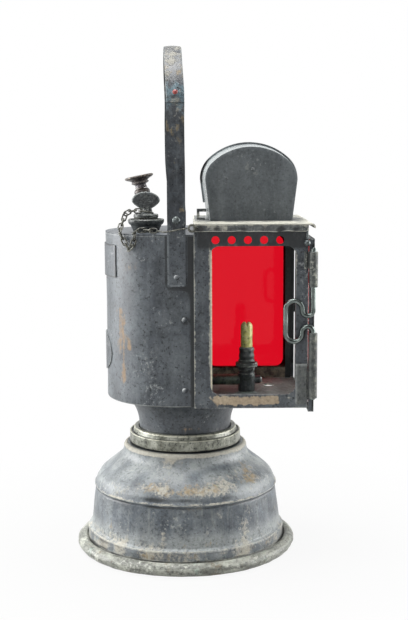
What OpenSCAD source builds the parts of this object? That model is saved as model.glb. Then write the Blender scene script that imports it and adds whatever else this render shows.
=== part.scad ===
// Acetylene railway hand lantern: carbide base, water tank, lamp box, smoke hood and bail.
// The origin is on the axis of the base, at the floor. +X is the front door and -Y the open window.

/* [Sheet and fits] */
// Thickness of the sheet metal
sheet = 1.2; // [0.8:0.1:1.6]
// Thickness of the window glass
glass_t = 2; // [1.5:0.1:2.4]
// Radial clearance of a part that turns on a pin or in a bore
run_gap = 0.05; // [0.02:0.01:0.1]
// Gap between flat faces that move past each other
face_gap = 0.2; // [0.1:0.05:0.4]

/* [Carbide base] */
// Outer radius of the rolled foot
foot_r = 84.5; // [82:0.5:90]
// Height of the rolled foot
foot_h = 9.6; // [8:0.2:11]
// Distance of the band inside the foot's outer edge
band_in = 8.5; // [7:0.5:10]
// Height of the band
band_h = 7.2; // [4:0.2:12]
// Step from the band in to the bowl's side
band_step = 2.6; // [1.5:0.1:4]
// Taper of the bowl's side, from its foot to its shoulder
side_taper = 3; // [1:0.2:5]
// Height of the bowl's side
side_h = 31; // [20:1:45]
// Height of the seam bead above the band
seam_h = 33; // [15:1:36]
// Radius of the seam bead's section
seam_r = 0.8; // [0.4:0.1:1.5]
// Radius of the rounded shoulder
shoulder_r = 16; // [10:0.5:22]
// Radius of the hollow above the shoulder
hollow_r = 9.5; // [6:0.5:14]
// Slope of the shoulder, measured at its normal
slope_a = 50.5; // [42:0.5:58]
// Radius of the bowl's throat
throat_r = 47.7; // [46:0.2:50]
// Radius of the rounded crown above the throat
crown_r = 3; // [2:0.2:4]
// Outer radius of the threaded mouth
mouth_r = 40.5; // [39.5:0.1:41]
// Height of the threaded mouth
mouth_h = 5; // [4:0.2:8]

/* [Union] */
// Outer radius of the union nut
nut_r = 42.9; // [42.4:0.1:45]
// Height of the nut's plain band
nut_band_h = 7.7; // [6:0.1:9]
// Thickness of the nut's lip over the flange
nut_lip_t = 3.4; // [2:0.1:5]
// Thickness of the rubber gasket
gasket_t = 1.5; // [1:0.1:3]
// Thickness of the neck's flange
flange_t = 2.5; // [1.5:0.1:4]
// Radius of the neck above the flange
neck_r = 35.5; // [33:0.1:37]
// Height of the neck's straight part above the flange's foot
neck_straight_h = 8; // [7:0.5:14]
// Radius of the neck where it meets the tank
neck_top_r = 46; // [40:0.5:50]
// Height of the neck
neck_h = 31; // [24:0.5:40]

/* [Water tank] */
// Radius of the tank's round back
tank_r = 54; // [50:0.5:55.5]
// Distance of the tank's round centre behind the base's axis
tank_back = 5.5; // [2:0.5:10]
// Height of the tank
tank_h = 126.5; // [100:0.5:150]
// Height of the bare name plate
plate_h = 24; // [15:1:30]
// Drop of the name plate's upper edge below the tank's top
plate_drop = 9; // [5:1:16]
// Half the angle that the name plate wraps round the tank
plate_half_a = 35; // [20:1:50]
// Half the width of the bare badge
badge_half_w = 23.7; // [15:0.5:28]
// Half the height of the bare badge
badge_half_h = 14.7; // [10:0.5:18]
// Height of the badge's centre above the tank's bottom
badge_up = 35; // [22:1:45]
// Distance of the body rivets behind the box's back
rivet_in = 7; // [5:0.5:10]
// Height of the lower body rivets above the tank's bottom
rivet_up = 12.6; // [8:0.2:18]
// Height of the upper body rivets above the lower ones
rivet_pitch = 52; // [40:0.5:60]
// Thickness of the plates on the tank
trim_t = 0.8; // [0.5:0.1:1.2]

/* [Filler and chain] */
// Distance of the filler behind the base's axis
filler_back = 28; // [22:0.5:32]
// Distance of the filler towards the near side
filler_side = 18; // [16:0.5:24]
// Radius of the filler cup's rim
cup_r = 13.5; // [12:0.1:15]
// Radius of the filler cup's foot
cup_foot_r = 9.8; // [9:0.1:11]
// Height of the filler cup
cup_h = 9.5; // [8:0.1:13]
// Radius of the plug's shank
shank_r = 7.2; // [6:0.1:7.6]
// Radius of the plug's disc
plug_r = 9.25; // [8:0.05:10.5]
// Thickness of the plug's disc
plug_t = 2.6; // [2:0.1:4]
// Thickness of the washer under the plug's disc
seal_t = 1; // [0.6:0.1:2]
// Height of the plug's neck under its leaf
plug_neck_h = 4; // [3.4:0.2:6]
// Width of the leaf grip
leaf_w = 21; // [16:0.5:26]
// Height of the leaf grip
leaf_h = 13.5; // [10:0.5:18]
// Thickness of the leaf grip
leaf_t = 2.6; // [2:0.1:3.4]
// Diameter of the chain's wire
chain_d = 1.1; // [0.9:0.1:1.2]
// Distance between chain links
chain_pitch = 4.6; // [4.2:0.1:5]

/* [Needle valve] */
// Lean of the valve's axis from upright
valve_lean = 12; // [8:0.5:14]
// Bearing of the lean, from the back towards the far side
valve_bearing = 13; // [8:1:20]
// Radius of the valve's spindle
spindle_r = 2; // [1.5:0.1:2.5]
// Radius of the gland tube
gland_r = 4.5; // [4:0.1:5.5]
// Length of the gland tube above the tank
gland_l = 26; // [20:0.5:32]
// Radius of the gland nut
gland_nut_r = 6; // [5.6:0.1:8]
// Height of the gland nut
gland_nut_h = 6; // [4:0.5:8]
// Radius of the valve's knob
knob_r = 11; // [9:0.5:14]
// Height of the knob with its waist
knob_h = 9.5; // [8:0.5:13]

/* [Lamp box] */
// Distance of the box's back from the base's axis
box_x = 7.3; // [5:0.1:10]
// Length of the box, from back to front
box_l = 82.2; // [76:0.2:92]
// Reach of the box past the tank on each side
box_proud = 3; // [2.8:0.1:5]
// Height of the roof's underside above the tank's lid
roof_up = 6.7; // [5.6:0.1:9]
// Distance from the box's back to a window
window_back = 11.8; // [10:0.1:14]
// Distance from a window to the box's front
window_front = 8.9; // [8:0.1:12]
// Distance from a window to the roof
window_head = 14.9; // [13.5:0.1:18]
// Height of a window's sill above the box's bottom
window_sill = 10.3; // [8:0.1:13]
// Radius of a window's corners
window_r = 6.5; // [3:0.5:10]
// Number of vent holes above a window
vent_n = 5; // [3:1:6]
// Diameter of a vent hole
vent_d = 5.8; // [4:0.1:6]
// Distance between vent holes
vent_pitch = 11.6; // [8:0.1:12]
// Height of the vent holes above the window
vent_up = 4.4; // [4:0.1:5]
// Diameter of the air hole in the floor
air_d = 8.5; // [5:0.5:12]
// Depth of the roof's lip
lip_h = 5.6; // [4:0.1:8]
// Reach of the roof past the front of the box
eave_l = 5.1; // [4.6:0.1:8]

/* [Burner] */
// Distance of the burner in front of the base's axis
burner_x = 48; // [40:0.5:55]
// Diameter of the burner's body
burner_d = 13.2; // [11:0.1:15]
// Height of the burner's body
burner_h = 19.3; // [16:0.1:24]
// Diameter of the burner's flange
burner_flange_d = 17.2; // [15.5:0.1:20]
// Thickness of the burner's flange
burner_flange_t = 3.9; // [2:0.1:5]
// Height of the tapered holder
holder_h = 11.4; // [8:0.1:15]
// Diameter of the brass tip
tip_d = 9.1; // [7:0.1:9.6]
// Height of the brass tip
tip_h = 19.6; // [14:0.1:25]
// Diameter of the gas pipe
gas_d = 7.9; // [6:0.1:8.4]
// Height of the gas pipe above the box's bottom
gas_up = 10; // [9:0.2:12]
// Distance of the gas pipe's riser in front of the box's back
gas_in = 7.5; // [6.5:0.1:9]

/* [Hood] */
// Distance of the hood's centre in front of the box's back
hood_x = 43.2; // [38:0.2:46]
// Width of the hood at the roof
hood_foot_w = 61; // [52:0.5:64]
// Greatest width of the hood's front
hood_w = 68.5; // [66:0.5:74]
// Height of the hood's straight flanks
hood_flank_h = 30.3; // [22:0.1:36]
// Rise of the hood's arch above the flanks
hood_rise = 24.3; // [22:0.1:28]
// Radius of the arch's shoulders
hood_shoulder_r = 18; // [14:0.5:20]
// Depth of the hood, from front plate to rear plate
hood_d = 42; // [39:0.5:50]
// Widening of the vault towards the rear
hood_flare = 2.2; // [1.6:0.2:6]
// Reach of the rear plate past the vault
hood_rim = 1.4; // [1:0.2:4]
// Height of the smoke outlet under the rear plate
outlet_h = 12; // [8:0.5:18]
// Radius of the chimney collar in the roof
chimney_r = 17; // [14:0.5:18]
// Height of the chimney collar above the roof
chimney_h = 14; // [8:0.5:20]

/* [Door] */
// Thickness of the door
door_t = 4; // [3.8:0.1:5]
// Distance of the door's top below the roof
door_head = 9.9; // [8:0.1:12]
// Drop of the door below the box
door_drop = 3.3; // [2:0.1:5]
// Width of the door's frame beside its window
door_stile = 13; // [11.5:0.5:20]
// Height of the door's frame above and below its window
door_rail = 11.3; // [10:0.1:16]
// Gap between the door and the box
door_gap = 0.7; // [0.4:0.1:1]
// Diameter of the wire pin
pin_d = 3.6; // [3:0.1:3.8]
// Outer radius of the hinge knuckles
knuckle_r = 3.25; // [3.05:0.05:3.4]
// Distance of the pin's axis outside the near panel
hinge_out = 3; // [2.9:0.05:3.2]
// Length of the lower box knuckle
low_knuckle_l = 19.8; // [14:0.2:22]
// Length of the lower door knuckle
mid_knuckle_l = 27.8; // [20:0.2:30]
// Length of each half of the upper hinge
top_knuckle_l = 12.5; // [9:0.1:14]
// Height of the lower box knuckle above the box's bottom
low_knuckle_up = 7.9; // [5:0.1:10]
// Drop of the upper hinge below the door's top
top_knuckle_drop = 8.9; // [6:0.1:12]
// Radius of the pin's finger loop
loop_r = 6; // [5:0.1:7]
// Radius of the pin's bends beside the finger loop
bend_r = 3.9; // [3:0.1:4.4]
// Height of the finger loop's straight side
loop_h = 17.6; // [16:0.2:22]

/* [Handle] */
// Distance of the handle's straps behind the base's axis
strap_back = 5; // [2:0.5:5.5]
// Width of the straps
strap_w = 13; // [10:0.5:13.5]
// Thickness of the lugs on the tank
lug_t = 2.5; // [1.5:0.1:3]
// Length of a lug on the tank's side
lug_l = 37; // [25:0.5:60]
// Height of the bail's pivot above the tank
pivot_up = 10.5; // [9:0.1:13]
// Radius of the pivot rivets
pivot_r = 2.2; // [1.5:0.1:2.6]
// Radius of the rivets' round heads
head_r = 3; // [2.8:0.1:4]
// Thickness of the bail's straps
bail_t = 2.2; // [1.5:0.1:3]
// Height of the bail's straight straps above the pivot
bail_h = 65.6; // [60:0.2:90]
// Thickness of the grip strip over the bail
grip_t = 2; // [1:0.1:3]
// Angle at which the grip's rivets sit on the arch
grip_rivet_a = 24; // [18:1:30]

/* [Hidden] */
$fn = 96;
// Small overlap that lets a cut pass through a face
cut = 1;

// Heights of the carbide base, from the floor up
band_z = foot_h + band_h;
band_r = foot_r - band_in;
side_low_r = band_r - band_step;
side_top_r = side_low_r - side_taper;
shoulder_z = band_z + side_h;
slope_l = (side_top_r - throat_r - (shoulder_r + hollow_r) * (1 - cos(slope_a))) / sin(slope_a);
throat_z = shoulder_z + (shoulder_r + hollow_r) * sin(slope_a) + slope_l * cos(slope_a);
crown_z = throat_z + crown_r;
mouth_z = crown_z + mouth_h;
foot_ring_r = foot_r - foot_h / 2;
base_in_r = band_r - sheet;

// Heights of the union and the tank
neck_z = mouth_z + gasket_t;
flange_z = neck_z + flange_t;
nut_bottom_z = crown_z + sheet;
tank_z = neck_z + neck_h;
tank_top_z = tank_z + tank_h;
flange_r = mouth_r - face_gap;

// Planes of the lamp box
box_front_x = box_x + box_l;
box_y = tank_r + box_proud;
box_h = tank_h + roof_up;
box_in_y = box_y - sheet;
box_floor_z = tank_z + sheet;
roof_z = tank_z + box_h;
roof_top_z = roof_z + sheet;
window_x = box_x + window_back;
window_l = box_l - window_back - window_front;
window_h = box_h - window_sill - window_head;
window_mid_x = window_x + window_l / 2;
window_z = tank_z + window_sill;
window_top_z = window_z + window_h;

// Filler, from the tank's lid up
filler_x = -filler_back;
filler_y = -filler_side;
cup_top_z = tank_top_z + cup_h;
plug_seat_z = cup_top_z + run_gap;
plug_z = plug_seat_z + seal_t;
plug_top_z = plug_z + plug_t;
plug_neck_r = leaf_t / 2 + 1.4;
shank_l = cup_h + sheet + 2;
sleeve_r = shank_r + sheet;
// The ring lies on the plug's disc and leans up towards the chain
ring_r = plug_neck_r + 1.5 * chain_d + 1;
ring_lean = 10;
ring_z = plug_top_z + chain_d / 2 + run_gap + ring_r * sin(ring_lean);

// Lengths along the valve's axis, from the seat on the drip tube
seat_z = tank_z + 2 * sheet;
lid_s = (tank_top_z - seat_z) / cos(valve_lean);
gland_foot_s = lid_s - 3;
gland_top_s = lid_s + gland_l;
knob_s = gland_top_s + gland_nut_h + face_gap;
drip_r = 2 * spindle_r;

// Burner, from the box's floor up
burner_flange_z = box_floor_z + burner_h;
holder_z = burner_flange_z + burner_flange_t;
tip_z = holder_z + holder_h;
gas_r = gas_d / 2;
gas_x = box_x + gas_in;
gas_z = tank_z + gas_up;
gas_bend_r = gas_r + 2;
gas_wall = 1;
socket_l = 3;

// Hood
hood_mid_x = box_x + hood_x;
hood_front_y = -hood_d / 2;

// Door and hinge
door_x = box_front_x + door_gap;
door_front_x = door_x + door_t;
door_near_y = -(box_y - 1);
door_far_y = box_y - 0.3;
door_z = tank_z - door_drop;
door_top_z = roof_z - door_head;
door_h = door_top_z - door_z;
door_window_w = 2 * (box_y - door_stile);
door_window_h = door_h - 2 * door_rail;
lintel_z = door_top_z + face_gap;
hinge_x = door_x + knuckle_r - 0.55;
hinge_y = -(box_y + hinge_out);
low_knuckle_z = tank_z + low_knuckle_up;
mid_knuckle_z = low_knuckle_z + low_knuckle_l + face_gap;
mid_top_z = mid_knuckle_z + mid_knuckle_l;
top_box_z = door_top_z - top_knuckle_drop - top_knuckle_l;
top_knuckle_z = top_box_z - face_gap - top_knuckle_l;
pin_r = pin_d / 2;
leaf_reach = 8.7;
leaf_extra = 5;

// Handle
strap_x = -strap_back;
lug_z = tank_top_z - lug_l;
lug_out_y = tank_r + lug_t;
pivot_z = tank_top_z + pivot_up;
bail_in_y = lug_out_y + face_gap;
bail_out_y = bail_in_y + bail_t;
arch_z = pivot_z + bail_h;
strap_arch_a = grip_rivet_a + 7;
grip_end_a = grip_rivet_a - 7;
head_h = 1.6;
stud_r = 2;
stud_h = 1.2;

// The chain is laid out from the plug's ring, over the tank's edge and back along it
chain_bearing = 215;
chain_in_r = ring_r * cos(ring_lean) - chain_d / 2;
ring_top = [
  filler_x + chain_in_r * cos(chain_bearing),
  filler_y + chain_in_r * sin(chain_bearing),
  ring_z + ring_r * sin(ring_lean)
];
// Point by the tank's rim: its bearing, then its distance outside the wall and height above the lid in links
function by_rim(a, out, up) =
  let (r = tank_r + out * chain_pitch)
    [-tank_back + r * cos(a), r * sin(a), tank_top_z + up * chain_pitch];
chain_route = [
  ring_top, ring_top + chain_pitch * [-1.22, -0.85, 0.02], ring_top + chain_pitch * [-2.3, -1.58, -0.3],
  by_rim(217.5, -1.1, 1.95), by_rim(220.5, -0.13, 1), by_rim(224, 0.57, 0.13), by_rim(227.2, 0.57, -0.87),
  by_rim(230.4, 0.57, -1.8), by_rim(233.6, 0.57, -2.4), by_rim(236.4, 0.57, -1.65), by_rim(238, 0.57, -0.65),
  by_rim(239, 0.55, 0.52), by_rim(243, -0.4, 0.63), by_rim(248.5, -0.43, 0.59), by_rim(254, -0.26, 0.59),
  by_rim(257, -0.09, 0.59)
];
// Distance along the chain's route at each of its points
route_s = [
  for (i = 0, s = 0; i < len(chain_route); i = i + 1,
    s = i < len(chain_route) ? s + norm(chain_route[i] - chain_route[i - 1]) : s) s
];
function on_route(s) =
  let (i = max([for (k = [0:len(route_s) - 2]) if (route_s[k] <= s) k]))
    chain_route[i] + (chain_route[i + 1] - chain_route[i]) * (s - route_s[i]) / (route_s[i + 1] - route_s[i]);
// Links, the free half-length inside one, and the point just past the last one
links = floor(route_s[len(route_s) - 1] / chain_pitch);
link_half_l = (chain_pitch + 0.7) / 2;
function link_along(i) = unit(on_route((i + 1) * chain_pitch - 0.01) - on_route(i * chain_pitch));
chain_end = on_route((links - 0.5) * chain_pitch)
  + (link_half_l + chain_d + run_gap) * link_along(links - 1);
// Plain wire from the chain, in front of the strap, to the eye at the roof's corner
wire_y = -(bail_out_y + 2);
eye_r = 2.3;
eye_wire_r = 0.8;
eye = [box_x - sheet, wire_y, roof_top_z - lip_h / 2];
wire_low_z = tank_top_z + 2 * chain_d;
wire_route = [
  chain_end, chain_end + chain_pitch * [0.5, -0.6, -0.06], [strap_x - 9.2, wire_y + chain_d, wire_low_z],
  [strap_x - 6.6, wire_y, wire_low_z + 0.4], [strap_x, wire_y, wire_low_z + 1.6],
  eye - [2.7 * eye_r, 0, 0.4], eye - [eye_r + eye_wire_r + run_gap, 0, 0]
];

// Points of an arc about a centre, between two angles
function arc(c, r, a0, a1, n = 16) =
  [for (i = [0:n]) let (a = a0 + (a1 - a0) * i / n) [c[0] + r * cos(a), c[1] + r * sin(a)]];
function flip(p) = [for (i = [len(p) - 1:-1:0]) p[i]];
function unit(v) = v / norm(v);
function ellipse_points(a, b, n = 48) = [for (i = [0:n - 1]) [a * cos(360 * i / n), b * sin(360 * i / n)]];

// Flat outline or plate that faces the near side
module facing(y) {
  translate([0, y, 0])
    rotate([90, 0, 0])
      children();
}
module both_sides() {
  children();
  mirror([0, 1, 0])
    children();
}
module rounded(l, h, r) {
  for (x = [r, l - r], y = [r, h - r])
    translate([x, y])
      circle(r);
  translate([r, 0])
    square([l - 2 * r, h]);
  translate([0, r])
    square([l, h - 2 * r]);
}
module tube(r_out, r_in, h) {
  difference() {
    cylinder(r = r_out, h = h);
    translate([0, 0, -cut])
      cylinder(r = r_in, h = h + 2 * cut);
  }
}
// Round rivet head that stands on a plane, on its shank
module rivet_head(r, h) {
  ball = (r * r + h * h) / (2 * h);
  a = asin((ball - h) / ball);
  rotate_extrude()
    polygon(concat([[0, 0]], arc([0, h - ball], ball, a, 90, 10)));
}
// Closed tube along points, as one mesh with round sections
module wire(path, r, sides = 8) {
  n = len(path);
  dirs = [for (i = [0:n - 1]) unit(path[min(i + 1, n - 1)] - path[max(i - 1, 0)])];
  across = [for (d = dirs) unit(cross([0, 0, 1], d))];
  points = [
    for (i = [0:n - 1], j = [0:sides - 1])
      let (a = 360 * j / sides)
        path[i] + r * (cos(a) * across[i] + sin(a) * cross(dirs[i], across[i]))
  ];
  walls = [
    for (i = [0:n - 2], j = [0:sides - 1])
      let (k = (j + 1) % sides, a = i * sides)
        each [[a + j, a + k, a + sides + j], [a + k, a + sides + k, a + sides + j]]
  ];
  caps = [
    for (j = [1:sides - 2])
      each [[0, j + 1, j], [(n - 1) * sides, (n - 1) * sides + j, (n - 1) * sides + j + 1]]
  ];
  polyhedron(points, [for (f = concat(walls, caps)) flip(f)]);
}

// Carbide base

// One face of the bowl's wall, a depth inside its outer face
function bowl_face(d) = concat(
  [[band_r - d, foot_h], [band_r - d, band_z], [side_low_r - d, band_z + sheet]],
  arc([side_top_r - shoulder_r, shoulder_z], shoulder_r - d, 0, slope_a),
  arc([throat_r + hollow_r, throat_z], hollow_r + d, 180 + slope_a, 180),
  arc([throat_r - crown_r, throat_z], crown_r - d, 0, 90, 8),
  [[mouth_r - d, crown_z - d], [mouth_r - d, mouth_z]]
);
seam_z = band_z + seam_h;
// Radius of the side or the shoulder's start at the seam
seam_out_r = seam_z < shoulder_z
  ? side_low_r + (side_top_r - side_low_r) * (seam_z - band_z) / side_h
  : side_top_r - shoulder_r + sqrt(pow(shoulder_r, 2) - pow(seam_z - shoulder_z, 2));

module base_rim() {
  color("#4d4b42")
    rotate_extrude()
      difference() {
        union() {
          translate([foot_ring_r, foot_h / 2])
            circle(foot_h / 2);
          translate([base_in_r, 0])
            square([foot_ring_r - base_in_r, foot_h]);
        }
        translate([foot_ring_r, foot_h / 2])
          circle(foot_h / 2 - sheet);
        translate([base_in_r + sheet, sheet])
          square([foot_ring_r - base_in_r - sheet, foot_h - 2 * sheet]);
        // Slit where the rolled sheet doesn't quite close
        translate([base_in_r - cut, foot_h - 2.5 * sheet])
          square([sheet + 2 * cut, sheet]);
      }
}
module base_plate() {
  color("#5b5850")
    cylinder(r = base_in_r, h = sheet);
}
module carbide_bowl() {
  color("#6a6a64")
    rotate_extrude()
      union() {
        polygon(concat(bowl_face(0), flip(bowl_face(sheet))));
        translate([seam_out_r, seam_z])
          circle(seam_r, $fn = 24);
      }
}

// Union

module union_nut() {
  band_top_z = nut_bottom_z + nut_band_h;
  lip_z = flange_z + face_gap;
  top_z = lip_z + nut_lip_t;
  bore_r = mouth_r + run_gap;
  lip_in_r = neck_r + 3 * face_gap;
  lip_out_r = nut_r - 2 * sheet;
  color("#7d7657")
    rotate_extrude()
      polygon([
        [bore_r, nut_bottom_z], [nut_r - 0.4, nut_bottom_z], [nut_r, nut_bottom_z + 0.4],
        [nut_r, band_top_z - 0.5], [nut_r - 0.6, band_top_z], [lip_out_r, band_top_z + 0.2],
        [lip_out_r - 0.5, band_top_z + 0.7], [lip_out_r - 0.5, top_z - 0.8], [lip_out_r - 1.4, top_z],
        [lip_in_r, top_z], [lip_in_r, lip_z], [bore_r, lip_z]
      ]);
}
module neck_gasket() {
  color("#26241f")
    translate([0, 0, mouth_z + run_gap])
      tube(flange_r, neck_r - sheet, gasket_t - run_gap);
}
// Radius of the hollow flare between the neck's straight part and the tank
flare_z = neck_z + neck_straight_h;
flare_rise = tank_z - flare_z;
flare_run = neck_top_r - neck_r;
flare_r = (flare_rise * flare_rise + flare_run * flare_run) / (2 * flare_run);
flare_a = asin(flare_rise / flare_r);
inner_flare_a = asin((flare_rise - sheet) / (flare_r + sheet));
function flare(d, a0, a1) = arc([neck_r + flare_r, flare_z], flare_r + d, 180 - a0, 180 - a1);
module tank_neck() {
  color("#474b50")
    difference() {
      rotate_extrude()
        polygon(concat(
          [[neck_r - sheet, neck_z], [flange_r, neck_z], [flange_r, flange_z], [neck_r, flange_z]],
          flare(0, 0, flare_a),
          [[0, tank_z], [0, tank_z - sheet]],
          flare(sheet, inner_flare_a, 0)
        ));
      gas_hole(tank_z);
      drip_hole(tank_z);
    }
}

// Water tank

module tank_plan(d, front) {
  translate([-tank_back, 0])
    intersection() {
      circle(tank_r - d);
      translate([-2 * tank_r, -tank_r])
        square(2 * tank_r);
    }
  translate([-tank_back, -(tank_r - d)])
    square([front + tank_back, 2 * (tank_r - d)]);
}
module drip_hole(z) {
  translate([0, 0, z - 2 * sheet])
    cylinder(r = drip_r, h = 4 * sheet);
}
module gas_hole(z) {
  translate([gas_x, 0, z - 2 * sheet])
    cylinder(r = gas_r, h = 4 * sheet);
}
module on_valve_axis(s) {
  translate([0, 0, seat_z])
    rotate([0, -valve_lean, -valve_bearing])
      translate([0, 0, s])
        children();
}
module tank_wall() {
  color("#3b4046")
    translate([0, 0, tank_z])
      linear_extrude(tank_h - sheet)
        difference() {
          tank_plan(0, box_x);
          tank_plan(sheet, box_x + cut);
        }
}
module tank_floor() {
  color("#4a4e52")
    difference() {
      translate([0, 0, tank_z])
        linear_extrude(sheet)
          tank_plan(sheet, box_x);
      drip_hole(tank_z);
    }
}
module tank_lid() {
  color("#454a50")
    difference() {
      translate([0, 0, tank_top_z - sheet])
        linear_extrude(sheet)
          tank_plan(0, box_x);
      translate([filler_x, filler_y, tank_top_z - sheet - cut])
        cylinder(r = sleeve_r, h = sheet + 2 * cut);
      on_valve_axis(gland_foot_s - cut)
        cylinder(r = gland_r, h = gland_l);
    }
}
// Ring segment on the tank's round back
module back_plate(half_a, h) {
  translate([-tank_back, 0, 0])
    rotate([0, 0, 180 - half_a])
      rotate_extrude(angle = 2 * half_a)
        translate([tank_r + run_gap, 0])
          square([trim_t, h]);
}
module name_plate() {
  color("#50565c")
    translate([0, 0, tank_top_z - plate_drop - plate_h])
      back_plate(plate_half_a, plate_h);
}
module rear_badge() {
  color("#3f4449")
    translate([0, 0, tank_z + badge_up])
      intersection() {
        translate([0, 0, -badge_half_h - cut])
          back_plate(1.5 * asin(badge_half_w / tank_r), 2 * (badge_half_h + cut));
        translate([-tank_back - tank_r - 4 * trim_t, 0, 0])
          rotate([90, 0, 90])
            linear_extrude(tank_r)
              polygon(ellipse_points(badge_half_w, badge_half_h));
      }
}
module body_rivets() {
  color("#5a5f63")
    both_sides()
      union() {
        for (up = [rivet_up, rivet_up + rivet_pitch])
          facing_rivet(box_x - rivet_in, -tank_r, tank_z + up, stud_r, stud_h);
        facing_rivet(strap_x, -lug_out_y, lug_z + strap_w / 2, stud_r, stud_h);
      }
}
module facing_rivet(x, y, z, r, h) {
  translate([x, y, z])
    rotate([90, 0, 0])
      rivet_head(r, h);
}

// Filler and its chain

module filler_neck() {
  bore_r = shank_r + run_gap;
  color("#4c4f4e")
    translate([filler_x, filler_y, tank_top_z])
      rotate_extrude()
        polygon(concat(
          [[bore_r, -shank_l], [sleeve_r, -shank_l], [sleeve_r, 0], [cup_foot_r, 0]],
          [[cup_foot_r, 1]],
          arc([cup_foot_r, cup_h - 1.2], cup_r - cup_foot_r, -60, 0, 8),
          [[cup_r, cup_h], [cup_r - sheet, cup_h]],
          arc([cup_foot_r, cup_h - 1.2], cup_r - cup_foot_r - sheet, 0, -60, 8),
          [[sleeve_r, cup_h * 0.3], [sleeve_r, cup_h], [bore_r, cup_h]]
        ));
}
module filler_plug() {
  leaf_z = plug_top_z + plug_neck_h + leaf_h / 2 - 1;
  color("#4f524c")
    union() {
      translate([filler_x, filler_y, plug_z])
        rotate_extrude()
          polygon([
            [0, -shank_l - seal_t], [shank_r - 1, -shank_l - seal_t], [shank_r, -shank_l - seal_t + 1],
            [shank_r, 0], [plug_r - 0.6, 0], [plug_r, 0.6], [plug_r, plug_t - 0.8], [plug_r - 0.8, plug_t],
            [plug_neck_r, plug_t], [plug_neck_r - 0.6, plug_t + plug_neck_h], [0, plug_t + plug_neck_h]
          ]);
      translate([filler_x, 0, leaf_z])
        facing(filler_y + leaf_t / 2)
          linear_extrude(leaf_t)
            polygon(ellipse_points(leaf_w / 2, leaf_h / 2));
    }
}
module plug_seal() {
  color("#2a2723")
    translate([filler_x, filler_y, plug_seat_z])
      tube(plug_r - 0.4, shank_r, seal_t);
}
module plug_ring() {
  color("#7b7768")
    translate([filler_x, filler_y, ring_z])
      rotate([0, -ring_lean, chain_bearing])
        rotate_extrude()
          translate([ring_r, 0])
            circle(chain_d / 2, $fn = 24);
}
// Chain link: a wire stadium about a point, long along one direction and flat across another
module chain_link(p, along, up) {
  bow_r = 1.45 * chain_d;
  wire_r = chain_d / 2;
  turns = 12;
  sides = 6;
  across = unit(cross(up, along));
  flat = cross(along, across);
  points = [
    for (i = [0:turns - 1], j = [0:sides - 1])
      let (
        a = -90 + 360 * (i + 0.5) / turns,
        b = 360 * j / sides,
        shift = (link_half_l - bow_r + wire_r) * sign(cos(a)),
        reach = bow_r + wire_r * cos(b)
      )
        p + (shift + reach * cos(a)) * along + reach * sin(a) * across + wire_r * sin(b) * flat
  ];
  faces = [
    for (i = [0:turns - 1], j = [0:sides - 1])
      let (k = (j + 1) % sides, a = i * sides, b = ((i + 1) % turns) * sides)
        each [[a + j, a + k, b + j], [a + k, b + k, b + j]]
  ];
  polyhedron(points, faces);
}
module plug_chain() {
  color("#8a8576")
    union()
      for (i = [0:links - 1]) {
        here = on_route((i + 0.5) * chain_pitch);
        along = link_along(i);
        level = unit(cross([0.3, 0.2, 1], along));
        chain_link(here, along, i % 2 == 0 ? level : cross(along, level));
      }
}
module chain_wire() {
  color("#8a8576")
    wire(wire_route, chain_d / 2);
}
module chain_eye() {
  color("#8f8a7c")
    union() {
      for (turn = [-1, 1])
        translate([eye[0], wire_y + turn * (eye_wire_r + run_gap), eye[2]])
          rotate([90, 0, 0])
            rotate_extrude()
              translate([eye_r, 0])
                circle(eye_wire_r, $fn = 24);
      // Stud on the roof's lip that both turns of the eye are wound on
      translate([eye[0] + eye_r + eye_wire_r, -(box_y + sheet), eye[2]])
        rotate([90, 0, 0])
          cylinder(r = 1.5 * eye_wire_r, h = 2 * eye_wire_r - wire_y - box_y - sheet);
    }
}

// Needle valve

module valve_gland() {
  color("#5e5b4c")
    on_valve_axis(gland_foot_s)
      tube(gland_r, spindle_r + run_gap, gland_top_s - gland_foot_s);
}
module gland_nut() {
  color("#6b5f4a")
    on_valve_axis(gland_top_s)
      rotate_extrude()
        polygon(concat(
          [[spindle_r + run_gap, 0], [gland_r, 0]],
          arc([gland_nut_r - 1.6, gland_nut_h / 2], 1.6, -60, 60, 8),
          [[gland_r, gland_nut_h], [spindle_r + run_gap, gland_nut_h]]
        ));
}
module valve_spindle() {
  tip_l = 5;
  color("#7a7563")
    on_valve_axis(face_gap)
      union() {
        cylinder(r1 = 0.5, r2 = spindle_r, h = tip_l);
        translate([0, 0, tip_l])
          cylinder(r = spindle_r, h = knob_s - tip_l);
      }
}
module valve_knob() {
  waist_r = 4.3;
  color("#5f5040")
    on_valve_axis(knob_s + face_gap)
      rotate_extrude()
        polygon([
          [0, 0], [waist_r + 0.6, 0], [waist_r, 1.2], [waist_r, 2.4], [waist_r + 2.4, 3.4],
          [waist_r + 2.6, 4.4], [waist_r + 1.6, 5], [knob_r - 3.2, knob_h - 3.4],
          [knob_r - 0.6, knob_h - 2.2], [knob_r, knob_h - 1.4], [knob_r - 0.4, knob_h - 0.3],
          [knob_r - 1.6, knob_h], [knob_r - 3, knob_h - 0.7], [0, knob_h - 0.9]
        ]);
}
module drip_tube() {
  drip_l = 9;
  color("#8a7c52")
    difference() {
      translate([0, 0, tank_z - drip_l])
        cylinder(r = drip_r, h = seat_z - tank_z + drip_l);
      translate([0, 0, tank_z - drip_l - cut])
        cylinder(r = 0.8, h = drip_l + 4 * sheet);
    }
}

// Lamp box

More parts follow.
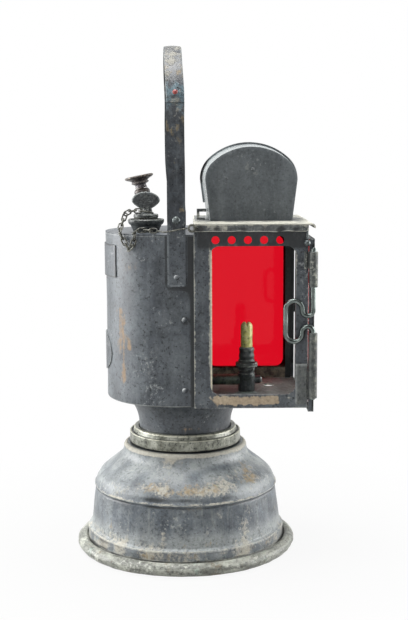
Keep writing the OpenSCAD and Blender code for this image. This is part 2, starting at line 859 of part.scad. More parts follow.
module window_plan() {
  translate([window_x, window_z])
    rounded(window_l, window_h, window_r);
}
module side_panel() {
  facing(-box_in_y)
    linear_extrude(sheet)
      difference() {
        translate([box_x, tank_z])
          square([box_l, box_h]);
        window_plan();
        for (i = [0:vent_n - 1])
          translate([window_mid_x - 3.7 + (i - (vent_n - 1) / 2) * vent_pitch, window_top_z + vent_up])
            circle(d = vent_d);
      }
}
module partition() {
  color("#4b5056")
    translate([box_x, -box_in_y, tank_z])
      cube([sheet, 2 * box_in_y, box_h]);
}
module near_panel() {
  color("#3d434a")
    side_panel();
}
module far_panel() {
  color("#3d434a")
    mirror([0, 1, 0])
      side_panel();
}
module box_floor() {
  air_x = burner_x + 18.5;
  air_y = 22;
  color("#8d8272")
    difference() {
      translate([box_x + sheet, -box_in_y, tank_z])
        cube([box_l - sheet, 2 * box_in_y, sheet]);
      gas_hole(tank_z);
      translate([air_x, air_y, tank_z - cut])
        cylinder(d = air_d, h = sheet + 2 * cut);
    }
}
module front_lintel() {
  color("#4b5056")
    translate([box_front_x - sheet, -box_in_y, lintel_z])
      cube([sheet, 2 * box_in_y, roof_z - lintel_z]);
}
module roof() {
  lip_y = box_y + sheet;
  curl_r = 2.6;
  curl_x = box_front_x + eave_l - curl_r;
  color("#6f6f6a")
    difference() {
      union() {
        translate([box_x, -lip_y, roof_z])
          cube([curl_x - box_x, 2 * lip_y, sheet]);
        both_sides()
          translate([box_x, -lip_y, roof_top_z - lip_h])
            cube([box_l, sheet, lip_h]);
        translate([curl_x, lip_y, roof_top_z - curl_r])
          rotate([90, 0, 0])
            linear_extrude(2 * lip_y)
              polygon(concat(arc([0, 0], curl_r, 90, -20), arc([0, 0], curl_r - sheet, -20, 90)));
      }
      translate([hood_mid_x, 0, roof_z - cut])
        cylinder(r = chimney_r, h = sheet + 2 * cut);
    }
}
// Glass stands on the floor behind the window, a little larger than it on each side
glass_side = 4.4;
glass_x = window_x - glass_side;
glass_l = window_l + 2 * glass_side;
glass_h = window_top_z + vent_up - vent_d - box_floor_z + 2.8;
module red_glass() {
  color("#d01c28")
    translate([glass_x, box_in_y - face_gap - glass_t, box_floor_z])
      cube([glass_l, glass_t, glass_h]);
}
// Bent strip that holds one upright edge of a pane against the far panel
module glass_guide() {
  wall = 1.2;
  lap = 3;
  depth = glass_t + 2 * face_gap;
  translate([glass_x - face_gap - wall, box_in_y - depth - wall, box_floor_z]) {
    cube([wall, depth + wall, glass_h]);
    translate([wall, 0, 0])
      cube([lap, wall, glass_h]);
  }
}
module glass_guides() {
  color("#4a4e52")
    both_sides() {
      glass_guide();
      translate([2 * window_mid_x, 0, 0])
        mirror([1, 0, 0])
          glass_guide();
    }
}

// Burner

module gas_way(r) {
  foot_z = tank_z - 4;
  elbow_z = gas_z - gas_bend_r;
  translate([gas_x, 0, foot_z - (r < gas_r ? cut : 0)])
    cylinder(r = r, h = elbow_z - foot_z + (r < gas_r ? cut : 0));
  translate([gas_x + gas_bend_r, 0, elbow_z])
    rotate([90, 0, 0])
      rotate([0, 0, 90])
        rotate_extrude(angle = 90)
          translate([gas_bend_r, 0])
            circle(r);
  translate([gas_x + gas_bend_r, 0, gas_z])
    rotate([0, 90, 0])
      cylinder(r = r, h = gas_end_x - gas_x - gas_bend_r + (r < gas_r ? cut : 0));
}
gas_end_x = burner_x - burner_d / 2 + socket_l;
module gas_pipe() {
  color("#6d6a58")
    difference() {
      gas_way(gas_r);
      gas_way(gas_r - gas_wall);
    }
}
module burner_body() {
  stub_l = 5;
  color("#34332e")
    difference() {
      union() {
        translate([burner_x, 0, box_floor_z])
          cylinder(d = burner_d, h = burner_h);
        translate([burner_x, 0, burner_flange_z])
          rotate_extrude()
            polygon([
              [0, 0], [burner_flange_d / 2 - 0.8, 0], [burner_flange_d / 2, 0.8],
              [burner_flange_d / 2, burner_flange_t - 1.2], [burner_flange_d / 2 - 1.2, burner_flange_t],
              [0, burner_flange_t]
            ]);
        translate([burner_x, 0, gas_z])
          rotate([0, 90, 0])
            cylinder(d = gas_d - 2, h = burner_d / 2 + stub_l);
      }
      translate([gas_end_x, 0, gas_z])
        rotate([0, -90, 0])
          cylinder(r = gas_r, h = burner_d);
      translate([burner_x, 0, gas_z])
        cylinder(r = 1.5, h = burner_h + burner_flange_t);
      translate([burner_x, 0, gas_z])
        rotate([0, -90, 0])
          cylinder(r = 1.5, h = burner_d / 2);
    }
}
module burner_holder() {
  foot_r1 = burner_flange_d / 2 - 2.2;
  color("#3a3a34")
    translate([burner_x, 0, holder_z])
      difference() {
        rotate_extrude()
          polygon([
            [0, 0], [foot_r1, 0], [foot_r1, 1.4], [foot_r1 - 0.8, 2], [tip_d / 2 + 1, holder_h - 2.4],
            [tip_d / 2 + 1, holder_h - 0.6], [tip_d / 2 + 0.4, holder_h], [0, holder_h]
          ]);
        translate([0, 0, -cut])
          cylinder(r = 1.5, h = holder_h + 2 * cut);
      }
}
module burner_tip() {
  tip_r = tip_d / 2;
  dome = 2.4;
  color("#8a7f38")
    translate([burner_x, 0, tip_z])
      difference() {
        rotate_extrude()
          polygon(concat(
            [[0, 0], [tip_r, 0], [tip_r, tip_h - dome]],
            arc([tip_r - dome, tip_h - dome], dome, 0, 90, 8),
            [[0, tip_h]]
          ));
        translate([-0.5, -tip_r - cut, tip_h - 3])
          cube([1, 2 * (tip_r + cut), 3 + cut]);
        translate([0, 0, -cut])
          cylinder(r = 1, h = tip_h);
      }
}

// Smoke hood

// Outline of the hood, grown by a margin: flanks, shoulders and crown of a three-centred arch
function hood_outline(m) =
  let (
    w = hood_w / 2 + m,
    rise = hood_rise + m,
    rs = hood_shoulder_r + m,
    off = w - rs,
    crown = (off * off + rise * rise - rs * rs) / (2 * (rise - rs)),
    a = atan2(crown - rise, off),
    half = concat(
      [[hood_foot_w / 2 + m, 0]],
      arc([off, hood_flank_h], rs, 0, a, 8),
      arc([0, hood_flank_h + rise - crown], crown, a, 90, 10)
    )
  )
    concat(half, [for (i = [len(half) - 2:-1:0]) [-half[i][0], half[i][1]]]);
module hood_plate(m, foot) {
  difference() {
    translate([hood_mid_x, roof_top_z])
      polygon(hood_outline(m));
    translate([box_x, roof_top_z - cut])
      square([box_l, foot + cut]);
  }
}
module hood_front() {
  color("#3d4045")
    facing(hood_front_y + sheet)
      linear_extrude(sheet)
        hood_plate(0, 0);
}
module hood_rear() {
  color("#2f3236")
    facing(-hood_front_y)
      linear_extrude(sheet)
        hood_plate(hood_flare + hood_rim, outlet_h);
}
// Bent sheet between the two plates, wider at the rear
module hood_vault() {
  y0 = hood_front_y + sheet;
  y1 = -hood_front_y - sheet;
  outs = [hood_outline(0), hood_outline(hood_flare), hood_outline(hood_flare - sheet), hood_outline(-sheet)];
  ys = [y0, y1, y1, y0];
  n = len(outs[0]);
  points = [for (i = [0:n - 1], j = [0:3]) [hood_mid_x + outs[j][i][0], ys[j], roof_top_z + outs[j][i][1]]];
  walls = [
    for (i = [0:n - 2], j = [0:3])
      let (k = (j + 1) % 4, a = 4 * i)
        each [[a + j, a + k, a + 4 + j], [a + k, a + 4 + k, a + 4 + j]]
  ];
  z = 4 * (n - 1);
  ends = [[0, 2, 1], [0, 3, 2], [z, z + 1, z + 2], [z, z + 2, z + 3]];
  color("#8c8f90")
    polyhedron(points, [for (f = concat(walls, ends)) flip(f)]);
}
module chimney_collar() {
  color("#55585a")
    translate([hood_mid_x, 0, roof_z])
      tube(chimney_r, chimney_r - sheet, chimney_h + sheet);
}
// Strap that ties the hood's foot to the roof
module hood_stay() {
  stay_reach = 10;
  stay_w = 8;
  stay_h = 8;
  stay_t = 2;
  stay_foot = 6;
  flank_out = stay_h * (hood_w - hood_foot_w) / 2 / hood_flank_h + hood_flare / 2;
  color("#8b8a80")
    translate([hood_mid_x - hood_foot_w / 2 - stay_reach, -stay_w / 2, roof_top_z])
      union() {
        cube([stay_t, stay_w, stay_h]);
        translate([0, 0, stay_h - stay_t])
          cube([stay_reach - flank_out - 3 * face_gap, stay_w, stay_t]);
        cube([stay_foot, stay_w, sheet]);
      }
}

// Door and hinge

module door_frame() {
  pocket_y = door_near_y + sheet;
  door_w = door_far_y - door_near_y;
  color("#454a50")
    difference() {
      translate([door_x, door_near_y, door_z])
        cube([door_t, door_w, door_h]);
      translate([door_x - cut, pocket_y, door_z + sheet])
        cube([door_t - sheet + cut, door_w - 2 * sheet, door_h - 2 * sheet]);
      translate([door_x, -door_window_w / 2, door_z + (door_h - door_window_h) / 2])
        rotate([90, 0, 90])
          linear_extrude(door_t + cut)
            rounded(door_window_w, door_window_h, window_r);
    }
}
door_glass_w = door_window_w + 12;
door_glass_h = door_window_h + 12;
door_glass_x = door_front_x - sheet - run_gap - glass_t;
door_glass_z = door_z + (door_h - door_glass_h) / 2;
module door_glass() {
  color("#c9d6d2")
    translate([door_glass_x, -door_glass_w / 2, door_glass_z])
      cube([glass_t, door_glass_w, door_glass_h]);
}
// Four tabs that hold the glass against the door's front
module glass_clips() {
  clip_t = 0.6;
  clip_h = 8;
  lap = 4;
  near_in_y = door_near_y + sheet;
  far_in_y = door_far_y - sheet;
  color("#5c6166")
    for (z = [0.2, 0.8] * door_glass_h)
      translate([door_glass_x - run_gap - clip_t, 0, door_glass_z + z - clip_h / 2]) {
        translate([0, near_in_y, 0])
          cube([clip_t, -door_glass_w / 2 + lap - near_in_y, clip_h]);
        translate([0, door_glass_w / 2 - lap, 0])
          cube([clip_t, far_in_y - door_glass_w / 2 + lap, clip_h]);
      }
}
module knuckle(z, l) {
  translate([hinge_x, hinge_y, z])
    tube(knuckle_r, pin_r + run_gap, l);
}
module pin_bore() {
  translate([hinge_x, hinge_y, door_z])
    cylinder(r = pin_r + run_gap, h = door_h);
}
module door_knuckles() {
  color("#6c6a60")
    difference() {
      union()
        for (k = [[mid_knuckle_z, mid_knuckle_l], [top_knuckle_z, top_knuckle_l]]) {
          knuckle(k[0], k[1]);
          translate([hinge_x - sheet, hinge_y, k[0]])
            cube([2 * sheet, door_near_y - hinge_y, k[1]]);
        }
      pin_bore();
    }
}
module box_knuckles() {
  leaf_y = -(box_y + sheet);
  neck_x = box_front_x - face_gap;
  color("#54585c")
    difference() {
      union() {
        translate([box_front_x - leaf_reach, leaf_y, low_knuckle_z - leaf_extra])
          cube([leaf_reach - face_gap, sheet, low_knuckle_l + 2 * leaf_extra]);
        translate([box_front_x - 3, leaf_y, top_box_z])
          cube([3, sheet, top_knuckle_l]);
        for (k = [[low_knuckle_z, low_knuckle_l], [top_box_z, top_knuckle_l]]) {
          knuckle(k[0], k[1]);
          translate([neck_x - cut, leaf_y, k[0]])
            cube([hinge_x - neck_x + cut, sheet, k[1]]);
        }
      }
      pin_bore();
    }
}
// Round bend of the pin's wire, in the plane of its finger loop
module pin_bend(x, z, r, a) {
  translate([x, hinge_y, z])
    rotate([90, 0, 0])
      rotate([0, 0, a])
        rotate_extrude(angle = 180)
          translate([r, 0])
            circle(pin_r, $fn = 48);
}
module pin_run(x, z0, z1) {
  translate([x, hinge_y, z0])
    cylinder(r = pin_r, h = z1 - z0);
}
module hinge_pin() {
  low_bend_z = mid_top_z + 0.8;
  low_loop_z = low_bend_z - 1;
  top_loop_z = low_loop_z + loop_h;
  top_bend_z = top_loop_z - 1;
  bend_x = hinge_x - bend_r;
  turn_x = hinge_x - 2 * bend_r;
  loop_x = turn_x - loop_r;
  color("#8d8f8c")
    union() {
      pin_run(hinge_x, low_knuckle_z - 1, low_bend_z);
      pin_bend(bend_x, low_bend_z, bend_r, 0);
      pin_run(turn_x, low_loop_z, low_bend_z);
      pin_bend(loop_x, low_loop_z, loop_r, 180);
      pin_run(loop_x - loop_r, low_loop_z, top_loop_z);
      pin_bend(loop_x, top_loop_z, loop_r, 0);
      pin_run(turn_x, top_bend_z, top_loop_z);
      pin_bend(bend_x, top_bend_z, bend_r, 180);
      pin_run(hinge_x, top_bend_z, top_box_z + top_knuckle_l + 1.5);
      translate([hinge_x, hinge_y, top_box_z + top_knuckle_l + 1.5])
        sphere(pin_r);
    }
}
// Leaf spring on the far panel that grips the door's edge
module door_catch() {
  catch_l = 12;
  catch_h = 10;
  catch_z = (door_z + door_top_z - catch_h) / 2;
  color("#70746f")
    translate([box_front_x - catch_l + door_t, box_y, catch_z])
      union() {
        cube([catch_l, trim_t, catch_h]);
        translate([5, trim_t, catch_h / 2])
          rotate([-90, 0, 0])
            rivet_head(stud_r, stud_h);
      }
}

// Handle

module strap_plan(z0, z1) {
  r = strap_w / 2;
  corner = 3;
  translate([strap_x, z1])
    circle(r);
  translate([strap_x - r, z0 + corner])
    square([strap_w, z1 - z0 - corner]);
  translate([strap_x - r + corner, z0])
    square([strap_w - 2 * corner, corner + 1]);
  for (x = [-1, 1])
    translate([strap_x + x * (r - corner), z0 + corner])
      circle(corner, $fn = 48);
}
module lug() {
  facing(-tank_r)
    linear_extrude(lug_t)
      difference() {
        strap_plan(lug_z, pivot_z);
        translate([strap_x, pivot_z])
          circle(pivot_r);
      }
}
module lug_near() {
  color("#3f444a")
    lug();
}
module lug_far() {
  color("#3f444a")
    mirror([0, 1, 0])
      lug();
}
module pivot_rivets() {
  color("#8b8d8c")
    both_sides()
      union() {
        translate([strap_x, -tank_r, pivot_z])
          rotate([90, 0, 0])
            cylinder(r = pivot_r, h = bail_out_y + face_gap - tank_r);
        facing_rivet(strap_x, -(bail_out_y + face_gap), pivot_z, head_r, head_h);
        mirror([0, 1, 0])
          facing_rivet(strap_x, tank_r, pivot_z, head_r, head_h);
      }
}
// Sector of the arch, between two angles and two radii
module arch(r_in, t, a0, a1) {
  translate([strap_x - strap_w / 2, 0, arch_z])
    rotate([90, 0, 90])
      rotate([0, 0, a0])
        rotate_extrude(angle = a1 - a0)
          translate([r_in, 0])
            square([t, strap_w]);
}
module bail_strap() {
  arch_side = concat(
    [[-bail_in_y, pivot_z]],
    arc([0, arch_z], bail_in_y, 180, 180 - strap_arch_a),
    arc([0, arch_z], bail_out_y, 180 - strap_arch_a, 180),
    [[-bail_out_y, pivot_z]]
  );
  difference() {
    union() {
      facing(-bail_in_y)
        translate([strap_x, pivot_z])
          linear_extrude(bail_t)
            circle(strap_w / 2);
      translate([strap_x - strap_w / 2, 0, 0])
        rotate([90, 0, 90])
          linear_extrude(strap_w)
            polygon(arch_side);
    }
    translate([strap_x, -bail_in_y + cut, pivot_z])
      rotate([90, 0, 0])
        cylinder(r = pivot_r + run_gap, h = bail_t + 2 * cut);
  }
}
module bail_strap_near() {
  color("#3c3f43")
    bail_strap();
}
module bail_strap_far() {
  color("#3c3f43")
    mirror([0, 1, 0])
      bail_strap();
}
module bail_grip() {
  color("#77756d")
    arch(bail_out_y, grip_t, grip_end_a, 180 - grip_end_a);
}
module grip_rivets() {
  color("#8c4a44")
    both_sides()
      translate([strap_x, 0, arch_z])
        rotate([-grip_rivet_a, 0, 0])
          translate([0, -(bail_out_y + grip_t), 0])
            rotate([90, 0, 0])
              rivet_head(stud_r, stud_h);
}

base_rim();
base_plate();
carbide_bowl();
union_nut();
neck_gasket();
tank_neck();
tank_wall();
tank_floor();
tank_lid();
name_plate();
rear_badge();
body_rivets();
filler_neck();
filler_plug();
plug_seal();
plug_ring();
plug_chain();
chain_wire();
chain_eye();
valve_gland();
gland_nut();
valve_spindle();
valve_knob();
drip_tube();
partition();
near_panel();
far_panel();
box_floor();
front_lintel();
roof();
red_glass();
glass_guides();
gas_pipe();
burner_body();
burner_holder();
burner_tip();
chimney_collar();
hood_front();
hood_vault();
hood_rear();
hood_stay();
door_frame();
door_glass();
glass_clips();
door_knuckles();
box_knuckles();
hinge_pin();
door_catch();
lug_near();
lug_far();
pivot_rivets();
bail_strap_near();
bail_strap_far();
bail_grip();
grip_rivets();
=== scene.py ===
import bmesh
import bpy
import numpy as np
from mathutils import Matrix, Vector
from mathutils.geometry import delaunay_2d_cdt


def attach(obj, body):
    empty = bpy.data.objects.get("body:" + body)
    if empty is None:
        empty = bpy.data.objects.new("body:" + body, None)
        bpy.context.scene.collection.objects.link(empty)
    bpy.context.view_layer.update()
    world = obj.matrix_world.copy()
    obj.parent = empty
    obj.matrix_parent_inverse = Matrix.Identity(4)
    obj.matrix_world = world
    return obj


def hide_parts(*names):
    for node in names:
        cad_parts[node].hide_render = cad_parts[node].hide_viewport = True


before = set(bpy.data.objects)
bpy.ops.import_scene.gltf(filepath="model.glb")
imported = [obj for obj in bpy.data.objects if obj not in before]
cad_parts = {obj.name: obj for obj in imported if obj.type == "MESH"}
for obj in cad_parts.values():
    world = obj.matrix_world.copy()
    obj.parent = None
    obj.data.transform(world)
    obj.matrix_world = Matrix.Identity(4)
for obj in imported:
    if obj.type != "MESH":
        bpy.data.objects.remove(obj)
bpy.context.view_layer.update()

mm = 0.001
scene = bpy.context.scene
scene.view_settings.view_transform = "Standard"


# surfaces, all in millimetres until makePiece

def gridFaces(rows, cols, loopRows, loopCols):
    # quads between neighbouring rows and columns, joined up where the grid closes on itself
    r, c = np.meshgrid(np.arange(rows - 1 + loopRows), np.arange(cols - 1 + loopCols), indexing="ij")
    r2, c2 = (r + 1) % rows, (c + 1) % cols
    return np.stack([r * cols + c, r2 * cols + c, r2 * cols + c2, r * cols + c2], -1).reshape(-1, 4)


def ripple(points, size, seed, waves=9):
    # soft unevenness: the sum of plane waves, each about one size long, from about -1 to 1
    rng = np.random.default_rng(seed)
    wave = rng.normal(size=(3, waves))
    wave *= 2 * np.pi / size / np.linalg.norm(wave, axis=0) * rng.uniform(0.6, 1.5, waves)
    return np.sin(np.asarray(points) @ wave + rng.uniform(0, 6.28, waves)).sum(-1) / 4


def ramp(x, low, high):
    # smooth step: 0 below low, 1 above high, an S curve between
    t = np.clip((x - low) / (high - low), 0, 1)
    return t * t * (3 - 2 * t)


def spot(x, middle, width):
    # bell curve: 1 at the middle, about a third one width away
    return np.exp(-((x - middle) / width) ** 2)


def spots(u, v, rows):
    # soft patches added up; a row is the middle and width along u, the same along v, and the amount
    return sum(most * spot(u, uMid, wide) * spot(v, vMid, tall) for uMid, wide, vMid, tall, most in rows)


def arc(centre, radius, start, end, count=24):
    a = np.radians(np.linspace(start, end, count))
    return np.stack([centre[0] + radius * np.cos(a), centre[1] + radius * np.sin(a)], -1)


def ring(radius, count=16, centre=(0, 0)):
    return arc(centre, radius, 0, 360, count + 1)[:-1]


def fine(line, step, closed=False):
    # the same line with extra points, so that none are further than a step apart
    line = np.asarray(line, float)
    if closed:
        line = np.vstack([line, line[:1]])
    s = np.r_[0, np.cumsum(np.linalg.norm(np.diff(line, axis=0), axis=1))]
    at = np.unique(np.round(np.r_[s, np.linspace(0, s[-1], max(2, int(s[-1] / step)))], 4))
    out = np.stack([np.interp(at, s, line[:, k]) for k in range(line.shape[1])], -1)
    return out[:-1] if closed else out


def stops(start, end, step):
    # numbers from start to end, no further than a step apart
    return fine([(start, 0), (end, 0)], step)[:, 0]


def softLine(corners, bend, step, closed=False):
    # a line through corners, each rounded by a small parabola that starts one bend away from it
    c = np.asarray(corners, float)
    bend = np.broadcast_to(np.asarray(bend, float), len(c))
    t = np.linspace(0, 1, 7)[:, None]
    out = []
    for i in range(len(c)):
        before, here, after = c[i - 1], c[i], c[(i + 1) % len(c)]
        if bend[i] == 0 or (not closed and i in (0, len(c) - 1)):
            out.append(c[i:i + 1])
            continue
        back, on = before - here, after - here
        backLong, onLong = np.linalg.norm(back), np.linalg.norm(on)
        cut = min(bend[i], 0.49 * backLong, 0.49 * onLong)
        start, end = here + back / backLong * cut, here + on / onLong * cut
        out.append((1 - t) ** 2 * start + 2 * t * (1 - t) * here + t ** 2 * end)
    return fine(np.vstack(out), step, closed)


def turned(patch, matrix, shift):
    patch["points"] = patch["points"] @ np.asarray(matrix, float).T + np.asarray(shift, float)
    return patch


upright = np.eye(3)
faceNear = [[1, 0, 0], [0, 0, -1], [0, 1, 0]]   # turns a lathe's axis towards -Y
faceFar = [[1, 0, 0], [0, 0, 1], [0, -1, 0]]    # and towards +Y


def leaning(lean, bearing):
    # turns an axis: leaned towards -X by an angle, then swung round Z by a bearing
    lean, turn = np.radians(-lean), np.radians(bearing)
    tiltY = np.array([[np.cos(lean), 0, np.sin(lean)], [0, 1, 0], [-np.sin(lean), 0, np.cos(lean)]])
    turnZ = np.array([[np.cos(turn), -np.sin(turn), 0], [np.sin(turn), np.cos(turn), 0], [0, 0, 1]])
    return turnZ @ tiltY


def lathe(profile, turns, closed=True, matrix=upright, place=(0, 0, 0)):
    # a line of (radius, height) turned about Z: x = r cos a, y = r sin a, z = h; then set in place
    a = np.linspace(0, 2 * np.pi, turns, endpoint=False)
    r, h = np.asarray(profile, float).T
    points = np.stack([np.outer(r, np.cos(a)), np.outer(r, np.sin(a)), np.repeat(h[:, None], turns, 1)], -1)
    patch = {"points": points.reshape(-1, 3), "faces": gridFaces(len(r), turns, closed, True)}
    return turned(patch, matrix, place)


def domeLine(radius, height):
    # half the outline of a ball's cap, for a rivet's head
    ball = (radius ** 2 + height ** 2) / (2 * height)
    low = np.degrees(np.arcsin((ball - height) / ball))
    return np.vstack([[[0, 0]], arc((0, height - ball), ball, low, 90, 10)])


def sweep(path, section, up, closedPath=False):
    # a closed section carried along a path: point = path + side * s + rise * t, with flat ends
    path = np.asarray(path, float)
    if closedPath:
        along = np.roll(path, -1, 0) - np.roll(path, 1, 0)
    else:
        along = np.gradient(path, axis=0)
    along /= np.linalg.norm(along, axis=1)[:, None]
    side = np.cross(along, np.broadcast_to(np.asarray(up, float), path.shape))
    side /= np.linalg.norm(side, axis=1)[:, None]
    rise = np.cross(side, along)
    s, t = np.asarray(section, float).T
    points = path[:, None] + side[:, None] * s[None, :, None] + rise[:, None] * t[None, :, None]
    if not closedPath:
        ends = points[[0, -1]].mean(1, keepdims=True) + np.zeros_like(points[[0, -1]])
        points = np.concatenate([ends[:1], points, ends[1:]])
    rows, cols = points.shape[:2]
    return {"points": points.reshape(-1, 3), "faces": gridFaces(rows, cols, closedPath, True)}


def insideLoop(points, loop):
    # even-odd rule: counts the sides of the loop that a ray towards +x meets
    x, y = points.T
    a, b = loop[:, :, None], np.roll(loop, -1, 0)[:, :, None]
    meets = (a[:, 1] > y) != (b[:, 1] > y)
    with np.errstate(divide="ignore", invalid="ignore"):
        crossing = (b[:, 0] - a[:, 0]) * (y - a[:, 1]) / (b[:, 1] - a[:, 1]) + a[:, 0]
        return (meets & (x < crossing)).sum(0) % 2 == 1


def cutSheet(outline, holes, thick, step, place):
    # flat sheet cut to an outline with holes: a lattice joined up on both faces, and a wall round every
    # edge. place turns (u, v, depth) arrays into x, y and z
    loops = [fine(loop, step, True) for loop in [outline] + holes]

    def within(points):
        keep = insideLoop(points, loops[0])
        for loop in loops[1:]:
            keep &= ~insideLoop(points, loop)
        return keep

    edge = np.vstack(loops)
    (u0, v0), (u1, v1) = edge.min(0), edge.max(0)
    grid = np.stack(np.meshgrid(np.arange(u0, u1, step), np.arange(v0, v1, step)), -1).reshape(-1, 2)
    grid = grid[within(grid)]
    near = np.linalg.norm(grid[:, None] - edge[None], axis=2).min(1)
    grid = grid[near > 0.45 * step]
    rims, start = [], 0
    for loop in loops:
        here = np.arange(len(loop))
        rims.append(np.stack([here, np.roll(here, -1)], -1) + start)
        start += len(loop)
    joined = delaunay_2d_cdt(
        [Vector(p) for p in np.vstack([edge, grid])], np.vstack(rims).tolist(), [], 0, 1e-5)
    flat = np.array([tuple(p) for p in joined[0]])
    tris = np.array(joined[2])
    tris = tris[within(flat[tris].mean(1))]
    n = len(flat)
    sides = np.sort(np.vstack([tris[:, [0, 1]], tris[:, [1, 2]], tris[:, [2, 0]]]), axis=1)
    pairs, count = np.unique(sides, axis=0, return_counts=True)
    a, b = pairs[count == 1].T
    walls = np.stack([a, b, b + n, a + n], -1)
    u, v = np.vstack([flat, flat]).T
    depth = np.r_[np.zeros(n), np.full(n, thick)]
    faces = tris.tolist() + (tris[:, ::-1] + n).tolist() + walls.tolist()
    return {"points": np.stack(place(u, v, depth), -1), "faces": faces}


def roundRect(x0, z0, x1, z1, radius):
    left, low, right, high = x0 + radius, z0 + radius, x1 - radius, z1 - radius
    corners = ((right, low), (right, high), (left, high), (left, low))
    return np.vstack([arc(corner, radius, 90 * k - 90, 90 * k, 9) for k, corner in enumerate(corners)])


wornRadius = 3.2   # mm; an edge as tight as this is worn all through


def markEdges(mesh):
    # how sharply the surface turns outwards at each point: the normal's change along an edge over its
    # length
    count = len(mesh.vertices)
    at, turn = np.empty(count * 3), np.empty(count * 3)
    mesh.vertices.foreach_get("co", at)
    mesh.vertices.foreach_get("normal", turn)
    at, turn = at.reshape(-1, 3), turn.reshape(-1, 3)
    ends = np.empty(len(mesh.edges) * 2, int)
    mesh.edges.foreach_get("vertices", ends)
    a, b = ends.reshape(-1, 2).T
    step = at[b] - at[a]
    bend = ((turn[b] - turn[a]) * step).sum(1) / np.maximum((step ** 2).sum(1), 1e-12) * mm
    both = np.bincount(a, minlength=count) + np.bincount(b, minlength=count)
    wear = (np.bincount(a, bend, count) + np.bincount(b, bend, count)) / np.maximum(both, 1)
    return np.clip(wear * wornRadius, 0, 1)


markNames = ("filmMark", "bareMark", "dustMark", "greenMark", "dirtMark")


def mark(patch, most, **amounts):
    # how much film and painted highlight, bare metal, dust, green, and dirt and painted shade lie at each point,
    # from none to the most
    for name, amount in amounts.items():
        patch[name + "Mark"] = np.clip(amount, 0, most)


def addValues(mesh, name, values):
    mesh.attributes.new(name, "FLOAT", "POINT").data.foreach_set("value", values.astype(np.float32))


def makePiece(name, patches, body, replaced, material, softEdge=0.0):
    # joins patches to one mesh with smooth faces and sharp creases, and hangs it on its body
    points = np.concatenate([p["points"] for p in patches])
    faces, start = [], 0
    for p in patches:
        rows = p["faces"].tolist() if isinstance(p["faces"], np.ndarray) else p["faces"]
        faces += [[i + start for i in f] for f in rows]
        start += len(p["points"])
    mesh = bpy.data.meshes.new(name)
    mesh.from_pydata((points * mm).tolist(), [], faces)
    for key in markNames:
        addValues(mesh, key, np.concatenate(
            [np.broadcast_to(p.get(key, 0.0), len(p["points"])) for p in patches]))
    work = bmesh.new()
    work.from_mesh(mesh)
    bmesh.ops.remove_doubles(work, verts=work.verts, dist=2e-6)
    bmesh.ops.recalc_face_normals(work, faces=work.faces)
    work.to_mesh(mesh)
    work.free()
    addValues(mesh, "edgeWear", markEdges(mesh))
    mesh.polygons.foreach_set("use_smooth", np.ones(len(mesh.polygons), dtype=bool))
    mesh.set_sharp_from_angle(angle=np.radians(38))
    mesh.materials.append(material)
    piece = bpy.data.objects.new(name, mesh)
    scene.collection.objects.link(piece)
    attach(piece, body)
    if replaced:
        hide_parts(*replaced)
    if softEdge:
        bevel = piece.modifiers.new("softEdge", "BEVEL")
        bevel.width, bevel.segments = softEdge * mm, 2
        bevel.limit_method, bevel.angle_limit = "ANGLE", np.radians(50)
        bevel.harden_normals = True


# materials

def linear(hexCode):
    # sRGB hex to a linear colour
    c = np.array([int(hexCode[i:i + 2], 16) for i in (1, 3, 5)]) / 255
    c = np.where(c <= 0.04045, c / 12.92, ((c + 0.055) / 1.055) ** 2.4)
    return (*c.tolist(), 1.0)


def addNode(tree, kind, inputs=(), shades=None, **settings):
    # one node with its settings, its inputs as numbers, sockets or nodes, and a colour ramp's shades
    node = tree.nodes.new("ShaderNode" + kind)
    for key, value in settings.items():
        setattr(node, key, value)
    for key, value in inputs.items() if isinstance(inputs, dict) else enumerate(inputs):
        if isinstance(value, bpy.types.Node):
            value = value.outputs[0]
        if isinstance(value, bpy.types.NodeSocket):
            tree.links.new(value, node.inputs[key])
        else:
            node.inputs[key].default_value = value
    if shades:
        elements = node.color_ramp.elements
        while len(elements) < len(shades):
            elements.new(0.5)
        for element, (place, shade) in zip(elements, shades):
            element.position, element.color = place, linear(shade)
    return node


def newMaterial(name):
    material = bpy.data.materials.new(name)
    material.use_nodes = True
    material.node_tree.nodes.clear()
    return material, material.node_tree


never = 9.0   # an edge so sharp that none is
# the film colour serves a real film and also painted highlights, and the dark mark's colour serves dirt and also
# painted shade
slate = {
    "dark": "#2f3439", "paint": "#40454b", "pale": "#545a5f", "cloudMm": 15, "hazeMm": 12, "chipMm": 5,
    "haze": "#676d71", "hazes": 0.4, "rubs": 0.34, "flecks": 0.24, "streak": "#656a6d", "streaks": 0.3,
    "stain": "#25292d", "stains": 0.6, "pit": "#15181b", "pits": 0.85, "grain": 0.22,
    "speck": "#a3a6a5", "speckFrom": 0.595, "specks": 0.42, "filmMark": "#80878b",
    "dustMark": "#8f918c", "dustSwing": 3.4, "dustSoft": 0.7, "dustMost": 0.76,
    "bareMark": "#8f7a62", "bareMost": 0.7, "greenMark": "#9db8ae", "dirtMark": "#15181a",
    "edgeWear": "#8f9392", "edgeFrom": 0.78, "edgeMost": 0.75,
    "rough": 0.4, "bump": 0.35, "metal": 0.0, "flat": 0.8}


